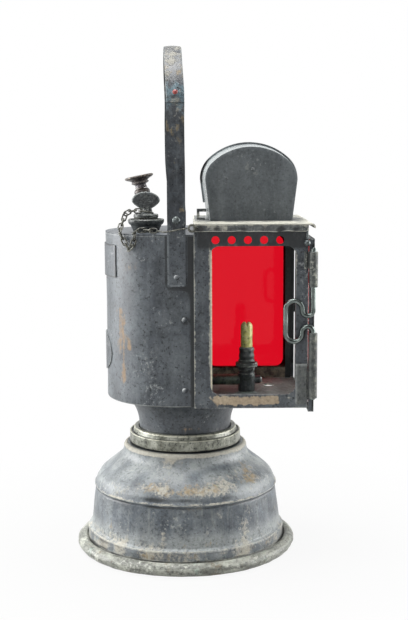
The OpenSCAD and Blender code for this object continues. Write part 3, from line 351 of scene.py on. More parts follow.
def wornPaint(name, **changes):
    # stove paint on sheet metal, brushed on by hand: satin, clouded, hazed with old lime and dust, chipped,
    # bare on edges. Sizes are the real ones in mm; the finest flecks are about 2 mm, as coarse as a pixel
    # needs
    look = slate | changes
    material, tree = newMaterial(name)
    at = addNode(tree, "TexCoord").outputs["Object"]
    field = {}
    for key, size, detail, rough, squash, shift in (
            ("cloud", look["cloudMm"], 6.0, 0.66, look["flat"], 0.0),
            ("haze", look["hazeMm"], 9.0, 0.74, look["flat"], 3.1),
            ("grain", 1.6, 3.0, 0.55, 1.0, 1.9),
            ("chip", look["chipMm"], 8.0, 0.74, 1.0, 1.3),
            ("fleck", 2.2, 3.0, 0.6, 1.0, 5.2),
            ("patch", 28, 4.0, 0.55, 1.0, 7.4),
            ("drip", 3.2, 5.0, 0.62, 0.07, 2.2),
            ("rub", 4.5, 5.0, 0.7, 0.35, 9.6)):
        place = addNode(tree, "Mapping", {
            "Vector": at, "Location": (shift, 0.7 * shift, 1.3 * shift), "Scale": (1, 1, squash)})
        field[key] = addNode(tree, "TexNoise", {
            "Vector": place, "Scale": 1 / (size * mm), "Detail": detail, "Roughness": rough})
    for key, first, second, share in (
            ("worn", "fleck", "patch", 0.5), ("run", "chip", "drip", 0.45), ("crust", "haze", "fleck", 0.4)):
        field[key] = addNode(tree, "Mix", {0: share, 2: field[first], 3: field[second]}, data_type="FLOAT")
    colour = addNode(tree, "ValToRGB", [field["cloud"]], [
        (0.34, look["dark"]), (0.5, look["paint"]), (0.66, look["pale"])])
    film = addNode(tree, "MapRange", [field["cloud"], 0.25, 0.75, 0.55, 1.2])
    painted = addNode(tree, "Attribute", attribute_name="filmMark").outputs["Fac"]
    film = addNode(tree, "Math", [film, painted], operation="MULTIPLY", use_clamp=True)
    layers = [(film, look["filmMark"])]
    # what the noises leave everywhere: from and to which height of the noise, how much, and its colour
    for source, low, high, most, shade in (
            ("haze", 0.48, 0.72, look["hazes"], look["haze"]),
            ("drip", 0.54, 0.72, look["streaks"], look["streak"]),
            ("rub", 0.55, 0.68, look["rubs"], look["haze"]),
            ("chip", 0.46, 0.34, look["stains"], look["stain"]),
            ("fleck", 0.41, 0.35, look["pits"], look["pit"]),
            ("fleck", 0.57, 0.67, look["flecks"], look["haze"]),
            ("worn", look["speckFrom"], look["speckFrom"] + 0.04, look["specks"], look["speck"])):
        layers.append((addNode(tree, "MapRange", [field[source], low, high, 0.0, most]), shade))
    # marks painted on the pieces, where 1 is all covered and a noise decides what stays bare below that; the dark
    # mark is dirt and also painted shade, and the film is a real film and also painted highlight
    masks = {}
    for key, source, swing, low, soft, most in (
            ("dustMark", "crust", look["dustSwing"], 0.5, look["dustSoft"], look["dustMost"]),
            ("bareMark", "run", 3.6, 0.5, 0.4, look["bareMost"]),
            ("greenMark", "chip", 2.0, 0.5, 0.3, 0.7),
            ("edgeWear", "chip", 1.2, look["edgeFrom"], 0.22, look["edgeMost"]),
            ("dirtMark", "crust", 1.4, 0.4, 0.5, 0.92)):
        painted = addNode(tree, "Attribute", attribute_name=key).outputs["Fac"]
        broken = addNode(tree, "MapRange", [field[source], 0.0, 1.0, -swing / 2, swing / 2])
        total = addNode(tree, "Math", [painted, broken], operation="ADD")
        some = addNode(tree, "MapRange", [total, low, low + soft, 0.0, most])
        only = addNode(tree, "Math", [painted, 8.0], operation="MULTIPLY", use_clamp=True)
        masks[key] = addNode(tree, "Math", [some, only], operation="MULTIPLY")
        layers.append((masks[key], look[key]))
    for mask, shade in layers:
        colour = addNode(tree, "Mix", {0: mask, 6: colour, 7: linear(shade)}, data_type="RGBA").outputs[2]
    grain = addNode(tree, "MapRange", [field["grain"], 0.25, 0.75, 1 - look["grain"], 1 + look["grain"]])
    colour = addNode(tree, "VectorMath", [colour, grain], operation="MULTIPLY")
    uneven = addNode(tree, "Math", [field["grain"], field["cloud"]], operation="ADD")
    rough = addNode(tree, "MapRange", [uneven, 0.7, 1.3, look["rough"] - 0.09, look["rough"] + 0.12])
    matt = addNode(tree, "Math", [masks["dustMark"], masks["bareMark"]], operation="MAXIMUM")
    rough = addNode(tree, "Mix", {0: matt, 2: rough, 3: 0.75}, data_type="FLOAT")
    relief = addNode(tree, "Math", [field["chip"], masks["dustMark"]], operation="ADD")
    bump = addNode(tree, "Bump", {"Height": relief, "Strength": look["bump"], "Distance": 0.4 * mm})
    shader = addNode(tree, "BsdfPrincipled", {
        "Base Color": colour, "Roughness": rough, "Normal": bump, "Metallic": look["metal"]})
    addNode(tree, "OutputMaterial", [shader])
    return material


# satin paint on smooth tinplate: slate grey, hazy, small chips
tankPaint = wornPaint("StovePaintOnTinplate", bareMost=0.85)
# the same on the lamp box, scraped to warm bare tin in places
panelPaint = wornPaint(
    "StovePaintScraped", bareMark="#b2a087", bareMost=0.88, dustMark="#c6c2b2", dustSoft=0.4, speckFrom=0.59)
# the same on rivet heads, where the brush left it thick; its pale film colour is a painted highlight
rivetPaint = wornPaint("StovePaintOnRivets", edgeFrom=never, rough=0.28, filmMark="#b9bdbd")
# the same paint on spun zinc, limed and weathered by wet carbide
bellPaint = wornPaint(
    "StovePaintLimedOnSpunZinc", dark="#3f454c", paint="#545b62", pale="#6c747b", cloudMm=20, hazeMm=9,
    haze="#858a8a", hazes=0.45, rubs=0.2, flecks=0.2, streak="#8f938f", streaks=0.4, stains=0.5, pits=0.5,
    pit="#24282b", speck="#b4b6ae", filmMark="#949999", dustMark="#b5b0a2", dustSwing=3.6, dustSoft=0.4,
    dustMost=0.78, bareMark="#93805f", bareMost=0.8, greenMark="#a3c0b4", edgeWear="#b5b6ad", edgeFrom=0.8,
    rough=0.38, bump=0.8)
# the rolled foot, scuffed through to grey zinc
footZinc = wornPaint(
    "ZincRolledScuffed", dark="#52544f", paint="#71736c", pale="#909289", cloudMm=12, haze="#adafa5",
    hazes=0.7, streak="#86887f", streaks=0.2, stain="#3a362e", pits=0.6, pit="#2b2a23", speck="#cfd0c6",
    speckFrom=0.57, specks=0.6, dustMark="#b2b4a9", bareMark="#6f6350", greenMark="#a6c4b6",
    edgeWear="#b9bbb0", edgeFrom=1.05, rough=0.34, bump=0.8, flat=4.0)
# smoked paint on the hood: even, with long rub marks
hoodPaint = wornPaint(
    "StovePaintSmoked", dark="#43484b", paint="#4e5356", pale="#595e61", cloudMm=24, hazes=0.35, rubs=0.35,
    flecks=0.3, streak="#676c6e", streaks=0.45, stains=0.3, pits=0.35, grain=0.2, speck="#868a88",
    speckFrom=0.61, edgeWear="#9da2a2", edgeFrom=0.95, rough=0.44)
# the hood's paint on the vault, painted paler than the hood as a painted highlight of its lit strip, and smoother
# so that it shines at a low angle; its film colour is a painted highlight too
vaultPaint = wornPaint(
    "StovePaintOnRolledTin", dark="#62686b", paint="#747a7d", pale="#888e90", cloudMm=18, hazes=0.3,
    stains=0.3, pits=0.3, filmMark="#969d9d", rough=0.26, bump=0.15)
# thick paint on strap iron, nearly black, rubbed by hands
strapPaint = wornPaint(
    "StovePaintOnStrapIron", dark="#1c2025", paint="#292e34", pale="#3e454b", cloudMm=9, haze="#565c61",
    hazes=0.5, flecks=0.3, streaks=0.4, stain="#15181a", stains=0.75, pit="#16181a", pits=0.6,
    speck="#84847e", speckFrom=0.6, dustMark="#8e8b80", dustSoft=0.4, bareMark="#8f7c54",
    greenMark="#69838d", edgeWear="#6e7374", edgeFrom=0.8, rough=0.34, bump=0.6)
# the same paint as the tank's on the soldered lugs, with light edges
lugPaint = wornPaint("StovePaintOnLug", edgeWear="#a2a5a4", edgeFrom=0.5)
# paint rubbed through to grey tin along the roof
roofPaint = wornPaint(
    "StovePaintRubbedThrough", dark="#34383a", paint="#484c4e", pale="#626664", cloudMm=8, hazeMm=9,
    chipMm=4, haze="#8c8f89", hazes=0.5, stains=0.7, pits=0.7, speck="#c4c4ba", speckFrom=0.58, specks=0.6,
    dustMark="#bcbaad", dustSoft=0.5, dustMost=0.82, bareMark="#8a4a45", edgeWear="#c2c1b6", edgeFrom=0.62,
    edgeMost=0.9, rough=0.42, bump=0.8)
# hinge tubes of rolled sheet, scuffed to a rough light grey
knucklePaint = wornPaint(
    "StovePaintScuffedTube", dark="#282b2e", paint="#3c403f", pale="#545855", cloudMm=6, hazeMm=6, chipMm=3,
    haze="#80837b", hazes=0.55, pits=0.7, speck="#a9aa9f", speckFrom=0.58, specks=0.6, filmMark="#a9adad",
    dustMark="#a2a398", edgeFrom=0.95, rough=0.45, bump=0.7)
# bare tinplate under dust, grey, tinted green so that the red light through the pane leaves it grey
floorTin = wornPaint(
    "TinplateDustyBare", dark="#646f6c", paint="#798582", pale="#8f9a96", cloudMm=16, haze="#a2aba7",
    hazes=0.5, streaks=0.0, stains=0.3, pits=0.3, speck="#d8d2c5", speckFrom=0.6, edgeWear="#d9d2c4",
    rough=0.8)
# cast iron under soot: black, a little oily
sootIron = wornPaint(
    "CastIronSooted", dark="#1c1f20", paint="#2f3334", pale="#4b5051", cloudMm=6, hazeMm=7, chipMm=2.5,
    haze="#656a69", hazes=0.45, streaks=0.0, stain="#151715", pit="#101211", pits=0.7, speck="#8d9189",
    speckFrom=0.63, dustMark="#85887f", edgeWear="#8e938c", edgeFrom=0.9, rough=0.34, bump=0.7)
# tinplate inside, blackened by smoke and kept near black as painted shade of the box's inside, nearly without a
# mark
darkTin = wornPaint(
    "TinplateDarkenedInside", dark="#171c1d", paint="#202627", pale="#2f3535", haze="#4a4e4c", hazes=0.25,
    speckFrom=0.66, edgeWear="#6c6d68", rough=0.45)
# brass gone dull olive grey, brighter where it is handled
oldBrass = wornPaint(
    "BrassTarnishedOlive", dark="#515247", paint="#7b7d73", pale="#a3a499", cloudMm=8, hazeMm=8, chipMm=4,
    haze="#9a9b8d", hazes=0.5, streaks=0.0, stain="#1e1f1a", stains=0.75, pits=0.7, speck="#a5a698",
    speckFrom=0.6, dustMark="#a5a699", edgeWear="#c9c8b6", edgeFrom=0.8, edgeMost=0.85, rough=0.32,
    metal=0.3)
# brass burner tip, yellow where the flame kept it clean
tipBrass = wornPaint(
    "BrassHeatedYellow", dark="#8f8c4a", paint="#c0bd70", pale="#dad499", cloudMm=4, hazeMm=6, chipMm=3,
    haze="#d8d0a0", streak="#6b7040", streaks=0.35, stain="#5a562c", stains=0.4, pit="#4a4824", pits=0.6,
    speck="#dcd4a8", speckFrom=0.6, edgeWear="#d8cf9a", rough=0.36, metal=0.25)
# drawn steel wire, dull grey with a soft shine
greySteel = wornPaint(
    "SteelWireDulled", dark="#363b3c", paint="#4a5051", pale="#686e6d", cloudMm=5, hazeMm=6, chipMm=3,
    haze="#7c8280", streaks=0.0, pits=0.6, speck="#b9bbb5", speckFrom=0.61, edgeFrom=never, rough=0.28,
    metal=0.6)
# the hinge wire, polished by fingers, dark in the middle with light flanks
pinSteel = wornPaint(
    "SteelWireRubbedBright", dark="#545b59", paint="#676f6c", pale="#7f8683", cloudMm=6, hazeMm=6, chipMm=3,
    haze="#949a97", hazes=0.2, rubs=0.1, flecks=0.1, streaks=0.0, stains=0.4, pits=0.3, grain=0.1,
    speckFrom=0.66, edgeFrom=never, rough=0.18, bump=0.08, metal=1.0)
# the folded edge of the glass guide, bare and bright
edgeTin = wornPaint(
    "TinplateFoldedBright", dark="#cfc6ac", paint="#e6dec6", pale="#f2ecd8", haze="#efe9d6", hazes=0.3,
    rubs=0.2, streaks=0.0, stain="#9a917a", stains=0.3, pit="#8d8570", pits=0.3, speckFrom=0.7,
    edgeFrom=never)
# gas pipe, blackened brass with an olive shine
pipeBrass = wornPaint(
    "BrassBlackened", dark="#343b35", paint="#4d564d", pale="#6c7569", cloudMm=7, hazeMm=8, chipMm=3,
    haze="#828a7e", hazes=0.5, streaks=0.0, edgeFrom=never, rough=0.34, bump=0.4)
# steel chain, tarnished brown grey
tanSteel = wornPaint(
    "SteelChainTarnished", dark="#2d2d2a", paint="#45453f", pale="#66665d", cloudMm=6, hazeMm=6, chipMm=2.5,
    haze="#7f7f75", streaks=0.0, pits=0.6, speck="#b1b0a3", speckFrom=0.6, dustMark="#b9b8ab",
    edgeFrom=never, rough=0.34, metal=0.45)
# bronze knob, browned by hands
knobBronze = wornPaint(
    "BronzeBrowned", dark="#2f2b2b", paint="#443e3d", pale="#5f5753", cloudMm=7, hazeMm=7, chipMm=3,
    haze="#746b64", streaks=0.0, pits=0.5, speck="#8b827a", speckFrom=0.61, filmMark="#77747b",
    dustMark="#8d7d6c", edgeWear="#948878", edgeFrom=0.95, rough=0.34, metal=0.25)
# red lead on the grip's rivets, worn to a dull red
rivetRed = wornPaint(
    "RivetRedLead", dark="#5d1f1e", paint="#8a2f2b", pale="#a84a42", cloudMm=3, haze="#b0766c", hazes=0.2,
    streaks=0.0, speckFrom=0.64, edgeFrom=never, rough=0.25)
# moulded rubber, matt and nearly black
gasketRubber = wornPaint(
    "RubberMoulded", dark="#1c1b19", paint="#26241f", pale="#312f2a", cloudMm=5, hazes=0.0, streaks=0.0,
    stains=0.0, pits=0.0, speckFrom=0.8, edgeFrom=never, rough=0.65)


def glassPane(name, tint, ior, haze, grime):
    # rolled sheet glass: clear through, with faint waves about 30 mm long and a little dust; caked grime
    # hides it where it is marked
    material, tree = newMaterial(name)
    at = addNode(tree, "TexCoord").outputs["Object"]
    wave = addNode(tree, "TexNoise", {"Vector": at, "Scale": 1 / (30 * mm), "Detail": 2.0})
    dust = addNode(tree, "TexNoise", {"Vector": at, "Scale": 1 / (6 * mm), "Detail": 6.0, "Roughness": 0.7})
    rough = addNode(tree, "MapRange", [dust, 0.4, 0.8, 0.02, haze])
    bump = addNode(tree, "Bump", {"Height": wave, "Strength": 0.05, "Distance": 0.5 * mm})
    shader = addNode(tree, "BsdfPrincipled", {
        "Base Color": linear(tint), "Roughness": rough, "Normal": bump, "IOR": ior,
        "Transmission Weight": 1.0})
    caked = addNode(tree, "ValToRGB", [dust], [(0.38, grime[0]), (0.62, grime[1])])
    matt = addNode(tree, "BsdfPrincipled", {"Base Color": caked, "Roughness": 0.85})
    covered = addNode(tree, "Attribute", attribute_name="dustMark").outputs["Fac"]
    both = addNode(tree, "MixShader", [covered, shader, matt])
    addNode(tree, "OutputMaterial", [both])
    return material


# deep ruby glass, which glows where light comes through, brown grime at its foot
redGlass = glassPane("GlassRolledRuby", "#da0e22", 1.2, 0.12, ("#4a4038", "#8f8272"))
# clear glass with a faint green in its depth
clearGlass = glassPane("GlassRolledClear", "#eef3f0", 1.45, 0.1, ("#8a867c", "#a8a498"))
print("materials made")


# camera at the photograph's place, and soft light all round as in a light tent

view = {"place": (0.0049, -0.88468, 0.30489), "tilt": 82.2, "roll": 0.25, "turn": -0.7, "lens": 67.35}
camera = bpy.data.objects.new("photoCamera", bpy.data.cameras.new("photoCamera"))
camera.data.lens = view["lens"]
camera.location = view["place"]
camera.rotation_euler = np.radians([view["tilt"], view["roll"], view["turn"]])
scene.collection.objects.link(camera)
scene.camera = camera

# the tent is white to look at and in the glass; what shines back from the camera's side is the darker room
light = {
    "tent": 0.16, "room": 0.16, "aim": (0, 0, 0.2), "boxes": (
        ("leftSoftbox", 23.5, 1.0, (-1.18, 0.14, 0.42)), ("rightSoftbox", 20.0, 1.0, (1.2, 0.1, 0.4)),
        ("frontSoftbox", 7.0, 0.8, (-0.5, -1.3, 0.9)), ("topSoftbox", 25.0, 0.9, (-0.15, 0.05, 1.4)))}
white = (1, 1, 1, 1)
world = bpy.data.worlds.new("lightTent")
scene.world = world
world.use_nodes = True
tree = world.node_tree
tree.nodes.clear()
ray = addNode(tree, "LightPath").outputs
toward = addNode(tree, "SeparateXYZ", [addNode(tree, "TexCoord").outputs["Generated"]]).outputs
# through a pane the tent's low wall is white too
lowWall = addNode(tree, "MapRange", [toward["Z"], 0.15, 0.05, 0.0, ray["Is Transmission Ray"]])
seen = addNode(tree, "Math", [ray["Is Camera Ray"], lowWall], operation="MAXIMUM")
shine = addNode(tree, "MapRange", [toward["Y"], -0.7, 0.1, light["room"], 1.0])
level = addNode(tree, "Mix", {0: ray["Is Glossy Ray"], 2: light["tent"], 3: shine}, data_type="FLOAT")
level = addNode(tree, "Mix", {0: seen, 2: level, 3: 1.0}, data_type="FLOAT")
addNode(tree, "OutputWorld", [addNode(tree, "Background", [white, level])])

for name, watts, size, place in light["boxes"]:
    lamp = bpy.data.lights.new(name, "AREA")
    lamp.energy, lamp.size = watts, size
    box = bpy.data.objects.new(name, lamp)
    box.location = place
    box.rotation_euler = (Vector(light["aim"]) - Vector(place)).to_track_quat("-Z", "Y").to_euler()
    scene.collection.objects.link(box)

paper = {"half": 4, "z": -0.0004, "near": 0.1, "far": 0.3, "nearWhite": 0.92, "grey": "#a4a4a2"}
floorMesh = bpy.data.meshes.new("paleFloor")
floorMesh.from_pydata(
    [(paper["half"] * x, paper["half"] * y, paper["z"]) for x, y in ((-1, -1), (1, -1), (1, 1), (-1, 1))],
    [], [(0, 1, 2, 3)])
floorPaper, tree = newMaterial("PaperBackdropMatt")
ray = addNode(tree, "LightPath").outputs
seen = addNode(tree, "Math", [ray["Is Camera Ray"], ray["Is Glossy Ray"]], operation="MAXIMUM")
seen = addNode(tree, "Math", [seen, ray["Is Transmission Ray"]], operation="MAXIMUM")
# matt white paper: near the lantern a share of its own shading stays, so that the shadow shows, and
# further off it is plain white
spread = addNode(tree, "VectorMath", [addNode(tree, "TexCoord").outputs["Object"]], operation="LENGTH")
share = addNode(tree, "MapRange", [
    spread.outputs["Value"], paper["near"], paper["far"], paper["nearWhite"], 1.0])
share = addNode(tree, "Math", [seen, share], operation="MULTIPLY")
matt = addNode(tree, "BsdfDiffuse", [linear(paper["grey"])])
glow = addNode(tree, "Emission", [white, 1.0])
addNode(tree, "OutputMaterial", [addNode(tree, "MixShader", [share, matt, glow])])
floorMesh.materials.append(floorPaper)
paleFloor = bpy.data.objects.new("paleFloor", floorMesh)
scene.collection.objects.link(paleFloor)
print("camera, light and floor set")


# carbide base

def bearingOf(p):
    # degrees round Z, where -90 faces the camera
    return np.degrees(np.arctan2(p[:, 1], p[:, 0]))


def dentOut(p, amount):
    # moves points away from the Z axis
    p[:, :2] += p[:, :2] / np.maximum(np.linalg.norm(p[:, :2], axis=1), 1)[:, None] * amount[:, None]


bell = {
    "sheet": 1.2, "bandR": 76.0, "footZ": 9.6, "bandZ": 16.8, "lowR": 73.4, "topR": 70.4, "shoulderZ": 47.8,
    "shoulderR": 16.0, "hollowR": 9.5, "slope": 50.5, "throatR": 47.7, "throatZ": 78.539, "crownR": 3.0,
    "mouthR": 40.5, "mouthZ": 86.539, "beadZ": 49.8, "beadR": 0.9, "dent": 0.45}
# where the bell is limed, scraped or green: bearing and width, height and spread, amount
bellSpots = {
    "runs": ((-142, 2.0, 28, 6, 0.6), (-126, 1.8, 29, 8, 0.55), (-102.6, 2.0, 28, 7, 0.95),
             (-77, 4, 29, 8, 0.65), (-52, 3, 27, 8, 0.4), (-41, 9, 43, 6, 0.3)),
    "crust": ((-86, 24, 58.4, 4.2, 0.72), (-112, 12, 61, 4, 0.58), (-64, 11, 61.5, 5, 0.6),
              (-140, 14, 56, 4, 0.36), (-98, 30, 76, 4, 0.3), (-38, 16, 63, 8, 0.5), (-150, 20, 20, 4, 0.3)),
    "bare": ((-115, 12, 61, 3.5, 0.6), (-37, 13, 64, 6, 0.8), (-84, 30, 59, 5, 0.55), (-141, 3, 28, 6, 0.42),
             (-86, 9, 47, 2.5, 0.4), (-88, 40, 21, 3, 0.34)),
    "green": ((-155, 14, 13, 4, 0.5), (-68, 12, 60, 6, 0.4), (-60, 20, 12, 2.5, 0.4))}


def bellLine(inset):
    # the outline from the band's foot to the mouth, moved inwards by the inset
    band, low, top, mouth = (bell[key] - inset for key in ("bandR", "lowR", "topR", "mouthR"))
    crownZ = bell["throatZ"] + bell["crownR"] - inset
    return np.vstack([
        softLine([(band, bell["footZ"]), (band, bell["bandZ"]), (low, bell["bandZ"] + 1.2),
                  (top, bell["shoulderZ"] - 1)], [0, 1.2, 0.9, 0], 1.5),
        arc((bell["topR"] - bell["shoulderR"], bell["shoulderZ"]), bell["shoulderR"] - inset,
            0, bell["slope"], 24),
        arc((bell["throatR"] + bell["hollowR"], bell["throatZ"]), bell["hollowR"] + inset,
            180 + bell["slope"], 180, 20),
        arc((bell["throatR"] - bell["crownR"], bell["throatZ"]), bell["crownR"] - inset, 0, 90, 10),
        [[mouth + 0.6, crownZ], [mouth, crownZ + 0.5], [mouth, bell["mouthZ"]]]])


outside = fine(bellLine(0), 1.2)
outside[:, 0] += bell["beadR"] * spot(outside[:, 1], bell["beadZ"], 0.9)
outside[:, 0] -= 0.5 * spot(outside[:, 1], bell["beadZ"] - 2.0, 0.7)
inside = fine(bellLine(bell["sheet"]), 3.0)
shell = lathe(np.vstack([outside, inside[::-1]]), 300)
p = shell["points"]
z = p[:, 2]
free = ramp(z, 9.6, 14) * (1 - ramp(z, 66, 77))
dentOut(p, bell["dent"] * free * (ripple(p, 46, 3) + 0.35 * ripple(p, 17, 4)))
bearing, r = bearingOf(p), np.linalg.norm(p[:, :2], axis=1)
low, front, band, step = 1 - ramp(z, 40, 50), spot(bearing, -88, 40), z < 17, ramp(z, 16, 17.5)
# lime: a rising haze over the band, runs down from it, a crust on the front of the shoulder and a ring
# round the crown
mark(shell, 1.3, dust=(
    0.48 * (1 - ramp(z, 16, 27)) * step + 0.56 * band + 2.0 * spot(z, 81.2, 2.0) * ramp(r, 44.4, 45.4)
    + spots(bearing, z, bellSpots["runs"] + bellSpots["crust"]) + 0.7 * spot(z, 50.4, 0.6)
    + 0.26 * ripple(p, 22, 8) + 0.16 * ripple(p * [1, 1, 0.12], 9, 7) * low + 0.02))
mark(shell, 1, film=(
    (0.68 + 0.7 * ripple(p, 18, 19)) * ramp(z, 57, 68) + 1.25 * (1 - ramp(z, 19, 33)) * step + 0.3 * band
    + 0.75 * spot(z, 56.5, 4) * (1 - 0.7 * front) + 0.2 * ripple(p, 30, 17)
    + 0.2 * ripple(p * [1, 1, 0.15], 14, 18) * low + 0.1))
mark(shell, 0.75, bare=(
    spots(bearing, z, bellSpots["bare"]) + 0.36 * spot(z, 13, 3.2) + 0.2 * ripple(p, 20, 9)))
mark(shell, 0.6, green=spots(bearing, z, bellSpots["green"]))
# painted shade under the nut, under the bead and under the band's step; darker where it meets the foot and in a
# band on the front above the bead; faint random dirt
mark(shell, 1, dirt=(
    1.1 * (z > 79) * (1 - ramp(r, 43.6, 44.6)) + 0.8 * spot(z, 47.6, 1.0) + 0.75 * spot(z, 53.2, 1.8) * front
    + 0.6 * (1 - ramp(z, 9.8, 11)) + 0.5 * spot(z, 15.2, 0.9) + 0.3 * ripple(p, 20, 10)))
makePiece("bellShell", [shell], "base", ["carbide_bowl"], bellPaint)

foot = {"outerR": 84.5, "height": 9.6, "innerR": 74.8, "grooveR": 76.4, "grooveZ": 7.9, "dent": 0.5}
rollR = foot["height"] / 2
rollX = foot["outerR"] - rollR
footLine = np.vstack([
    [[foot["innerR"], 0.0], [rollX, 0.0]], arc((rollX, rollR), rollR, -88, 118, 40),
    [[rollX - 2.9, foot["grooveZ"]], [foot["grooveR"], foot["grooveZ"] + 0.5],
     [foot["grooveR"] - 0.3, foot["height"]], [foot["innerR"], foot["height"]]]])
footRoll = lathe(fine(footLine, 1.0, True), 300)
p = footRoll["points"]
bearing = bearingOf(p)
edge = ramp(np.linalg.norm(p[:, :2], axis=1), 77, 82)
dentOut(p, foot["dent"] * edge * (ripple(p, 34, 11) + 0.4 * ripple(p, 11, 12) - 0.7))
p[:, 2] += ramp(p[:, 2], 3, 9) * edge * (0.5 * ripple(p, 40, 13) - 0.4)
z, r = p[:, 2], np.linalg.norm(p[:, :2], axis=1)
mark(footRoll, 1.2, dust=0.6 + 0.5 * ripple(p * [1, 1, 2], 20, 14))
mark(footRoll, 0.6, bare=0.3 + 0.25 * ripple(p, 22, 15), green=(
    0.45 * spot(bearing, -84, 6) + 0.4 * spot(bearing, -48, 9) + 0.45 * spot(bearing, -152, 9)))
mark(footRoll, 1, dirt=(
    0.72 * (z > 6.5) * (1 - ramp(r, 77.2, 78.6)) + 0.6 * (1 - ramp(z, 0.4, 2.2))
    + 0.22 * ripple(p * [1, 1, 3], 24, 16)))
makePiece("footRoll", [footRoll], "base", ["base_rim"], footZinc)
print("base made")


# union nut and neck

union = {
    "boreR": 40.55, "outerR": 42.9, "lipOutR": 39.4, "lipInR": 36.1, "bottomZ": 82.739, "bandTopZ": 90.439,
    "lipZ": 90.739, "topZ": 94.139, "seatR": 39.2}
outerR, bandTop, lipZ = union["outerR"], union["bandTopZ"], union["lipZ"]
nutLine = softLine([
    (union["boreR"], union["bottomZ"]), (outerR - 0.3, union["bottomZ"]), (outerR, union["bottomZ"] + 1.2),
    (outerR, bandTop + 0.2), (outerR - 1.1, bandTop + 0.4), (outerR - 1.6, bandTop - 0.7),
    (union["lipOutR"] + 1.0, bandTop - 0.5), (union["lipOutR"] + 0.6, bandTop + 0.9),
    (union["lipOutR"], union["topZ"]), (union["lipInR"], union["topZ"]), (union["lipInR"], lipZ),
    (union["seatR"], lipZ), (union["seatR"], lipZ - 0.2), (union["boreR"], lipZ - 0.9)],
    [0, 0.3, 0.5, 0.5, 0.4, 0.4, 0.3, 0.4, 1.0, 0.4, 0, 0, 0, 0], 0.45, True)
nutRing = lathe(nutLine, 240)
p = nutRing["points"]
x, y, z = p.T
mark(nutRing, 0.7, dust=0.2 + 0.35 * ripple(p, 22, 21))
# painted shade in the groove at the top and along the bottom edge; a darker band on the front and faint random
# dirt
mark(nutRing, 1, dirt=(
    (np.hypot(x, y) < 41.7) * spot(z, 89.9, 0.9) + 0.7 * (1 - ramp(z, 82.7, 83.7))
    + 0.25 * spot(z, 86.4, 2.4) * spot(x, 6, 26) + 0.2 * ripple(p, 16, 22)))
makePiece("unionRing", [nutRing], "nut", ["union_nut"], oldBrass)

neck = {
    "flangeR": 40.3, "bottomZ": 88.039, "flangeZ": 90.539, "waistR": 35.5, "topR": 46.0, "flareZ": 96.039,
    "topZ": 119.039, "sheet": 1.2}
rise, run, boreR = neck["topZ"] - neck["flareZ"], neck["topR"] - neck["waistR"], neck["waistR"] - neck["sheet"]
flareR = (rise ** 2 + run ** 2) / (2 * run)
flareMid = (neck["waistR"] + flareR, neck["flareZ"])
outTurn = np.degrees(np.arcsin(rise / flareR))
inTurn = np.degrees(np.arcsin((rise - neck["sheet"]) / (flareR + neck["sheet"])))
neckLine = np.vstack([
    [[boreR, neck["bottomZ"]], [neck["flangeR"], neck["bottomZ"]], [neck["flangeR"], neck["flangeZ"]],
     [neck["waistR"], neck["flangeZ"]]], arc(flareMid, flareR, 180, 180 - outTurn, 24), [[0, neck["topZ"]]]])
neckInner = np.vstack([
    [[0, neck["topZ"] - neck["sheet"]]], arc(flareMid, flareR + neck["sheet"], 180 - inTurn, 180, 16),
    [[boreR, neck["bottomZ"]]]])
neckShell = lathe(np.vstack([fine(neckLine, 1.5), fine(neckInner, 4.0)]), 200, False)
p = neckShell["points"]
x, y, z = p.T
mark(neckShell, 0.6, dust=0.55 * (1 - ramp(z, 93.5, 97)) + 0.25 * ripple(p, 25, 23), bare=(
    0.5 * spot(z, 98.5, 2) * spot(x, 4, 14) + 0.1 * ripple(p, 12, 25)))
# painted shade low down inside the nut's lip and right under the tank; faint random dirt
mark(neckShell, 0.9, dirt=(
    0.75 * (1 - ramp(z, 93.6, 96)) + 0.35 * spot(z, 118, 1.6) + 0.2 * ripple(p, 30, 24)))
makePiece("neckFlare", [neckShell], "head", ["tank_neck"], tankPaint)
print("union made")


# water tank

tank = {
    "radius": 54.0, "back": 5.5, "front": 7.3, "bottomZ": 119.039, "topZ": 245.539, "sheet": 1.2, "fold": 2.8,
    "dent": 0.28}
rivets = {
    "x": 0.3, "heights": (131.639, 183.639), "radius": 2.0, "rise": 1.2, "lugZ": 215.039, "lugX": -5.0,
    "lugY": 56.5}
tankR, back = tank["radius"], tank["back"]
plan = np.vstack([
    fine([(tank["front"], -tankR), (-back, -tankR)], 1.6), arc((-back, 0), tankR, 270, 90, 120)[1:-1],
    fine([(-back, tankR), (tank["front"], tankR)], 1.6)])
wallTop = tank["topZ"] - tank["sheet"]
wallLine = softLine([
    (tank["fold"], tank["bottomZ"]), (0, tank["bottomZ"]), (0, wallTop), (tank["sheet"], wallTop),
    (tank["sheet"], tank["bottomZ"] + 5), (tank["fold"], tank["bottomZ"] + 3)], [0, 2.6, 0, 0, 0, 0], 1.6, True)
tankWall = sweep(np.c_[plan, np.zeros(len(plan))], wallLine, (0, 0, 1))
p = tankWall["points"]
away = p - [-back, 0, 0]
away[:, 0] = np.minimum(away[:, 0], 0)
away[:, 2] = 0
away /= np.maximum(np.linalg.norm(away, axis=1), 1)[:, None]
x, y, z = p.T
free = ramp(z, 122, 136) * (1 - ramp(z, 232, 243)) * (1 - ramp(x, -14, 0))
p += away * (tank["dent"] * free * (ripple(p, 60, 31) - 0.5))[:, None]
side = y < 0
